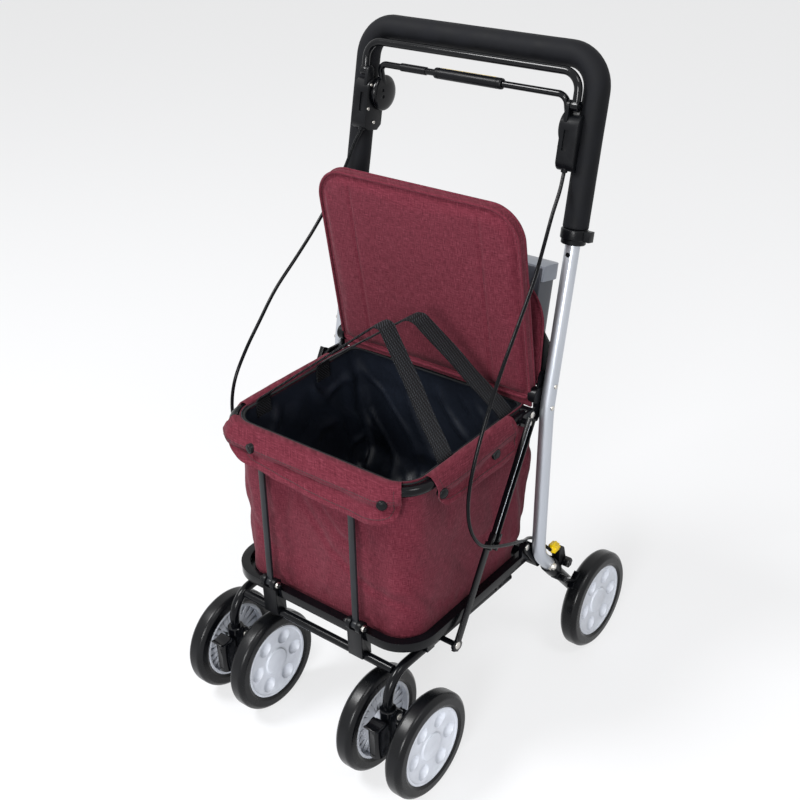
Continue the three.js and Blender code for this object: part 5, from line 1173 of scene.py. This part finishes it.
def stitches(name, line, body, pitch=4.2, stitch=3.2, yarn=0.55):
    """Thread along a line of points; pitch, stitch length and yarn radius are in millimetres."""
    seed = seed_of(name, (line, [], [(i, i + 1) for i in range(len(line) - 1)]))
    made = grown(name, seed, stitch_tree, {
        "Pitch": pitch * MM, "Stitch": stitch * MM, "Yarn": yarn * MM, "Finish": THREAD})
    placed(made, body, slot="bag_cloth")


# %% Fastener tree and heads
head_tree, head_in, add = new_tree("fasteners_on_points", Geometry="Geometry", Head="Object", Finish="Material")
head = add("GeometryNodeObjectInfo", {"Object": head_in["Head"]}).outputs["Geometry"]
way = add("GeometryNodeInputNamedAttribute", {"Name": "facing"}, data_type="FLOAT_VECTOR")
size = add("GeometryNodeInputNamedAttribute", {"Name": "size"}, data_type="FLOAT")
turned = add("FunctionNodeAlignRotationToVector", {"Vector": way}, axis="Z")
points = add("GeometryNodeMeshToPoints", {"Mesh": head_in["Geometry"]})
set_heads = add("GeometryNodeInstanceOnPoints", {
    "Points": points, "Instance": head, "Rotation": turned, "Scale": size})
close_tree(head_tree, set_heads, head_in["Finish"])


def fasteners(name, spots, head, body, finish=ZINC):
    """Heads at (place, facing, size) spots, on one body."""
    places, ways, sizes = zip(*spots)
    seed = seed_of(name, (places, []))
    for title, kind, field, values in (("facing", "FLOAT_VECTOR", "vector", ways), ("size", "FLOAT", "value", sizes)):
        for item, value in zip(seed.data.attributes.new(title, kind, "POINT").data, values):
            setattr(item, field, value)
    made = grown(name, seed, head_tree, {"Head": head, "Finish": finish})
    made.data.materials.clear()
    made.data.materials.append(finish)
    tidied(made.data, 40)
    placed(made, body)


# Heads are one millimetre in radius, so a spot's size is its radius in millimetres
HEADS = [solid_object(name, lathe(profile, (0, 0, 0), (0, 0, 1), sides)) for name, sides, profile in (
    ("dome_head", 28, [(1, -0.4), (1, 0.04), (0.94, 0.16), (0.75, 0.28), (0.45, 0.36), (0, 0.38)]),
    ("socket_head", 28, [(1, -0.4), (1, 0.5), (0.88, 0.66), (0.5, 0.7), (0.42, 0.4), (0, 0.4)]),
    ("press_stud", 32, [(1, -0.7), (1, 0.14), (0.9, 0.26), (0.74, 0.24), (0.66, 0.3), (0.4, 0.36), (0, 0.38)]))]
DOME, SOCKET_HEAD, STUD = HEADS
print("trees:", len(bpy.data.node_groups), "heads:", len(HEADS))

# %% Hem stitches
def outer_at(columns, index, height):
    """The point of a flap's outer face at a height, in one column."""
    outer = columns[index][0]
    below = [k for k in range(len(outer) - 1) if outer[k].z >= height >= outer[k + 1].z]
    k = below[-1] if below else len(outer) - 2
    drop = outer[k].z - outer[k + 1].z
    return outer[k].lerp(outer[k + 1], (outer[k].z - height) / drop if drop > 0.01 else 0)


FIRST = round(STITCH_INSET / STATION_STEP)
for name, columns in FLAPS.items():
    final = len(columns) - 1 - FIRST
    hems = [outer[-1].z for outer, _ in columns]
    line = [outer_at(columns, FIRST, z) for z in (466, 460, 452, hems[FIRST] + 12)]
    line += [outer_at(columns, i, hems[i] + STITCH_INSET) for i in range(FIRST + 1, final)]
    line += [outer_at(columns, final, z) for z in (hems[final] + 12, 452, 460, 466)]
    stitches(f"hem_stitches_{name}", line, "seat_ring")
    stitches(f"roll_stitches_{name}", [outer_at(columns, i, 455) for i in range(FIRST, final, 2)], "seat_ring")
print("hems stitched:", len(FLAPS))

# %% Press studs
HEM_ROW, STUD_LIFT = -6, 1.3
STUDS = [("front", -87.9, -210, 456, 7), ("front", 136.1, -208, 451, 7)]
STUDS += [(name, side * 174, y, height, radius) for name, side in SIDES
          for y, height, radius in ((-138, 449, 7.4), (-18, 444, 8))]


def stud_spot(flap, x, y, height, radius):
    """The place, facing and radius of a stud on the nearest column of a flap."""
    columns = FLAPS[flap]
    index = min(range(len(columns)), key=lambda i: (columns[i][0][HEM_ROW].xy - Vector((x, y))).length)
    at = outer_at(columns, index, height)
    along = columns[index + 1][0][HEM_ROW] - columns[index - 1][0][HEM_ROW]
    out = Vector((along.y, -along.x, 0)).normalized()
    out = out if out.dot(at - BAG_MIDDLE) > 0 else -out
    return at + out * STUD_LIFT, out, radius


fasteners("press_studs", [stud_spot(*stud) for stud in STUDS], STUD, "seat_ring", NYLON)
print("studs:", len(STUDS))

# %% [markdown]
# ## Carry straps
# Two loops of woven webbing are sewn inside the mouth and stand up to meet above it. Webbing is stiff
# across and limp along, so it is a ribbon swept along straight pulls and one tight turn, slightly cupped.

# %% Carry straps
cup = [(-0.9 + 1.1 * (b / 14) ** 2, b) for b in (-13.4, -9, -4.5, 0, 4.5, 9, 13.4)]
STRAP_SECTION = [(-0.2, -14), *cup, (-0.2, 14), *((a + 1.7, b) for a, b in cup[::-1])]
STRAP_X, STRAP_FOOT, STRAP_BEND, LIMP_ABOVE = 153.0, 444, 472.5, 480

for name, right_y, left_y, top in (("front", -118, -100, (20, -50, 612)), ("rear", 8, 38, (50, -22, 618))):
    corners = [(-STRAP_X, right_y, STRAP_FOOT), (-STRAP_X, right_y, STRAP_BEND), top,
               (STRAP_X, left_y, STRAP_BEND), (STRAP_X, left_y, STRAP_FOOT)]
    path = evenly(bent(corners, 14, 16), 4)
    for p in path:
        if p.z > LIMP_ABOVE:
            p.y += 1.6 * noise.noise(Vector((p.x / 60, p.z / 70, 2.0)))
    strap = shell_piece(f"carry_loop_{name}", WEBBING, sweep(path, STRAP_SECTION, width=(0, 1, 0)), 50)
    placed(strap, "seat_ring", f"carry_strap_{name}")
    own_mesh(strap)
print("straps made")

# %% [markdown]
# ## Seat lid and back panel
# Both are padded boards covered in the same cloth. A cloth simulation blows a thin blank up from inside,
# which gives the crown and the drawn-in sides of real padding. Seams, creases and piping come after it.

# %% Inflate a blank
CLOTH_FRAMES = 20


def inflated(name, outline, thickness, voxel, pressure, cap):
    """A padded form from a flat outline in X and Z, thickness along Y, about its own frame."""
    blank = solid_object(name + "_blank", prism(outline, -thickness / 2, thickness / 2, "y"))
    grid = blank.modifiers.new("grid", "REMESH")
    grid.mode, grid.voxel_size = "VOXEL", voxel * MM
    pad = baked(blank, name + "_pad")
    before = [v.co.copy() for v in pad.data.vertices]
    cloth = pad.modifiers.new("cloth", "CLOTH")
    settings = cloth.settings
    settings.quality, settings.mass = 5, 0.3
    settings.use_pressure, settings.uniform_pressure_force = True, pressure
    settings.effector_weights.gravity = 0
    cloth.point_cache.frame_start, cloth.point_cache.frame_end = 1, CLOTH_FRAMES
    for frame_number in range(1, CLOTH_FRAMES + 1):
        bpy.context.scene.frame_set(frame_number)
    pad = baked(pad, name + "_pad")
    bpy.context.scene.frame_set(1)
    largest = 0
    for vertex, start in zip(pad.data.vertices, before):
        move = vertex.co - start
        largest = max(largest, move.length)
        if move.length > cap * MM:
            vertex.co = start + move.normalized() * cap * MM
    print(name, "points:", len(before), "largest move:", round(largest / MM, 2), "mm")
    finer = pad.modifiers.new("finer", "SUBSURF")
    finer.levels = finer.render_levels = 1
    return baked(pad, name)


# %% Pads, piping and outlines
def pad_piece(pad, name, matrix, shape, body, node):
    """Moves a pad's points with a shape function in millimetres, then places it."""
    for vertex in pad.data.vertices:
        vertex.co = shape(vertex.co / MM) * MM
    pad.data.transform(Matrix.Translation(matrix.translation * MM) @ matrix.to_3x3().to_4x4())
    placed(finished(pad, name, CLOTH, smooth=75), body, node)


def piping(name, outline, depth, radius, matrix, body):
    """A covered cord sewn round an outline at one depth."""
    path = evenly([Vector((x, depth, z)) for x, z in [*outline, outline[0]]], 4)[:-1]
    cord = moved(sweep(path, circle(radius, 12), closed=True), matrix)
    placed(shell_piece(name, CLOTH, cord, 60), body)


def shrunk(outline, inset):
    """An outline moved inwards by a distance."""
    outline, out = [Vector(p) for p in outline], []
    for i, place in enumerate(outline):
        along = (outline[(i + 1) % len(outline)] - outline[i - 1]).normalized()
        out.append(tuple(place + Vector((-along.y, along.x)) * inset))
    return out


# %% The seat lid
LID_HINGE = (82, 487)
LID = Matrix.Translation((0, *LID_HINGE)) @ Matrix.Rotation(math.radians(7.6), 4, "X")
LID_HALF, LID_FOOT, LID_TOP, SEAM_X = 169, -8, 278, 108
LID_OUTLINE = rounded([(-LID_HALF, LID_FOOT), (LID_HALF, LID_FOOT), (LID_HALF, LID_TOP), (-LID_HALF, LID_TOP)],
                      [14, 14, 48, 48], 14)


def lid_shape(p):
    toward = -1 if p.y < 0 else 1
    rim = min(LID_HALF - abs(p.x), p.z - LID_FOOT, LID_TOP - p.z)
    inner = smooth(4, 16, rim)
    seam = sum(math.exp(-((p.x - at) / 2.4) ** 2) for at in (-SEAM_X, SEAM_X)) * smooth(0, 30, rim)
    dish = 1.5 * noise.noise(Vector((p.x / 120, p.z / 120, 3)))
    pulls = crease(p.x / 55 + p.z / 90, p.z / 60, toward * 2, 6.2) * (1 - smooth(20, 90, p.z)) * smooth(60, 150, p.x)
    ripple = 0.35 * noise.noise(Vector((p.x / 18, p.z / 26, 7)))
    swell = dish + ripple + 1.0 - 0.9 * pulls - 1.9 * seam if toward < 0 else 0.3 * dish - 1.4
    return Vector((p.x, p.y * 0.93 + toward * inner * swell - 0.5, p.z))


pad_piece(inflated("lid", shrunk(LID_OUTLINE, 3.2), 12.5, 4.6, 4.0, 5.0), "seat_lid_pad", LID, lid_shape,
          "seat_lid", "seat_lid")
piping("lid_piping_front", shrunk(LID_OUTLINE, 2.2), -6.6, 2.1, LID, "seat_lid")
piping("lid_piping_back", shrunk(LID_OUTLINE, 2.2), 5.6, 2.1, LID, "seat_lid")
band = moved(prism(shrunk(LID_OUTLINE, 1.6), -5.6, 4.8, "y"), LID)
part("lid_side_band", "seat_lid", CLOTH, [band], bevel=0.8)
skirt = [(-168.5, 0), (168.5, 0), (168.5, -19), (118, -15), (0, -12.5), (-118, -15), (-168.5, -19)]
skirt = moved(prism(rounded(skirt, [1, 1, 3, 40, 60, 40, 3], 8), -6.6, -4.2, "y"), LID)
part("lid_foot_skirt", "seat_lid", CLOTH, [skirt], bevel=0.9, segments=3)
part("lid_hinge_collars", "seat_lid", NYLON, [crosspin(s, 165, 177.5, LID_HINGE, 11.5, 1, 40) for s in (1, -1)])
for tag, x in (("inner", -SEAM_X), ("outer", SEAM_X)):
    line = [LID @ Vector((x, -8.4 - math.sin(math.pi * (z - LID_FOOT) / (LID_TOP - LID_FOOT)), z))
            for z in range(12, 264, 6)]
    stitches(f"lid_seam_{tag}", line, "seat_lid", pitch=3.6, stitch=3.0)
print("lid made")

# %% The back panel
PANEL = BACK_FRAME @ Matrix.Translation((0, -3.3, 31))
PANEL_TOP = 146
PANEL_OUTLINE = rounded([(-171.5, 0), (171.5, 0), (161, PANEL_TOP), (-161, PANEL_TOP)], [10, 10, 74, 74], 14)


def panel_shape(p):
    toward = -1 if p.y < 0 else 1
    rim = min(165 - abs(p.x), p.z, PANEL_TOP - p.z)
    soft = 0.5 * noise.noise(Vector((p.x / 60, p.z / 50, 11)))
    return Vector((p.x, p.y * 0.8 + toward * smooth(2, 14, rim) * soft, p.z))


pad_piece(inflated("panel", shrunk(PANEL_OUTLINE, 2.6), 6, 4.0, 3.0, 1.0), "back_panel_pad", PANEL, panel_shape,
          "rear_frame", "back_panel")
piping("panel_piping", shrunk(PANEL_OUTLINE, 1.6), -2.0, 1.6, PANEL, "rear_frame")
foot_strip = [(-160, -5), (160, -5), (160, 3), (-160, 3)]
backing = [moved(prism(shrunk(PANEL_OUTLINE, 1.6), -1.2, 1.2, "y"), PANEL),
           moved(prism(foot_strip, 0, 1.6, "y"), PANEL)]
part("panel_backing", "rear_frame", CLOTH, backing, bevel=0.4)
print("panel made")

# %% [markdown]
# ## Screws and rivets
# The small bright heads tell the eye how big the frame is. They are listed by where they sit, the way they
# face and their radius, with one piece for each body.

# %% Fasteners
BOTH = (1, -1)
fasteners("tube_screws", [(raked(s * 195.9, -2.0, h), (s, 0, 0), 3.4) for s in BOTH for h in (5, 36)], DOME,
          "rear_frame")
fasteners("hinge_rivets", [((s * x, y, z), (s, 0, 0), radius) for s in BOTH for x, y, z, radius in (
    (186.3, 48, 463, 3.6), (175.5, RING_END, RING_Z, 5.2), (175.5, HINGE_Y, HINGE_Z, 5.2))], DOME, "rear_frame")
fasteners("clamp_screws", [((s * BAR_AT + edge * 12.6, -208, 236), (edge, 0, 0), 4.8)
                           for s in BOTH for edge in BOTH], SOCKET_HEAD, "base")
fasteners("housing_screws", [(raked(s * 158.1, depth, height), (-s, 0, 0), 2.4) for s in BOTH
                             for depth, height in ((-23, HOUSING_TOP - 9), (-10, HOUSING_FOOT + 11),
                                                   (-25, HOUSING_FOOT + 30))], SOCKET_HEAD, "handle")
fasteners("brace_foot_caps", [((s * 181.4, ROD_Y, LEG_Z), (s, 0, 0), 5.6) for s in BOTH], DOME, "base")
for template in HEADS:
    bpy.data.objects.remove(template)
print("fasteners set")

# %% [markdown]
# ## Floor and light
# A photographer's white sweep: a pale floor, an even white surround, and three soft lamps. The floor and
# the surround go to plain white for what the camera or a reflection sees, while the floor keeps its shadow.

# %% Floor
def seen_plainly(tree):
    """One for a ray from the camera, a reflection or clear glass, and nothing for any other ray."""
    rays = add_node(tree, "ShaderNodeLightPath").outputs
    seen = add_node(tree, "ShaderNodeMath", {0: rays["Is Camera Ray"], 1: rays["Is Glossy Ray"]},
                    operation="MAXIMUM")
    return add_node(tree, "ShaderNodeMath", {0: seen, 1: rays["Is Transmission Ray"]}, operation="MAXIMUM")


SWEEP_HALF, FLOOR_Z, WHITE_SHARE = 15000, -0.4, 0.7
floor_material, floor_tree, floor_shader = shader_of("matt_white_floor", "#eceef3", 0.9)
share = add_node(floor_tree, "ShaderNodeMath", {0: seen_plainly(floor_tree), 1: WHITE_SHARE}, operation="MULTIPLY")
white = add_node(floor_tree, "ShaderNodeEmission", {"Color": (1, 1, 1, 1), "Strength": 1.0})
blend = add_node(floor_tree, "ShaderNodeMixShader", {0: share, 1: floor_shader, 2: white})
feed(floor_tree, floor_tree.nodes["Material Output"], {"Surface": blend})

corners = [(x * SWEEP_HALF, y * SWEEP_HALF, FLOOR_Z) for x, y in ((-1, -1), (1, -1), (1, 1), (-1, 1))]
floor = object_of("floor", mesh_of("floor", (corners, [(0, 1, 2, 3)])))
floor.data.materials.append(floor_material)
print("floor laid")

# %% Surround and lamps
scene = bpy.context.scene
scene.view_settings.view_transform = "Standard"
world = scene.world = bpy.data.worlds.new("surround")
world.use_nodes = True
sky = world.node_tree
strength = add_node(sky, "ShaderNodeMapRange", {"Value": seen_plainly(sky), "To Min": 0.3, "To Max": 1.0})
feed(sky, sky.nodes["Background"], {"Color": (1, 1, 1, 1), "Strength": strength})

# Name, place, aim, size in metres and power in watts
LAMPS = (("key", (-1.3, -1.5, 3.1), (0, -0.1, 0.4), 1.1, 100), ("front", (1.3, -3.1, 1.7), (0, 0, 0.4), 1.1, 78),
         ("side", (1.8, -0.5, 3.0), (0, 0, 0.4), 1.0, 26))
for name, place, aim, size, power in LAMPS:
    data = bpy.data.lights.new(name, "AREA")
    data.shape, data.size, data.energy = "DISK", size, power
    lamp = bpy.data.objects.new(name, data)
    scene.collection.objects.link(lamp)
    place, aim = Vector(place), Vector(aim)
    lamp.matrix_world = Matrix.LocRotScale(place, (aim - place).to_track_quat("-Z", "Y"), None)
print("lamps:", len(LAMPS))
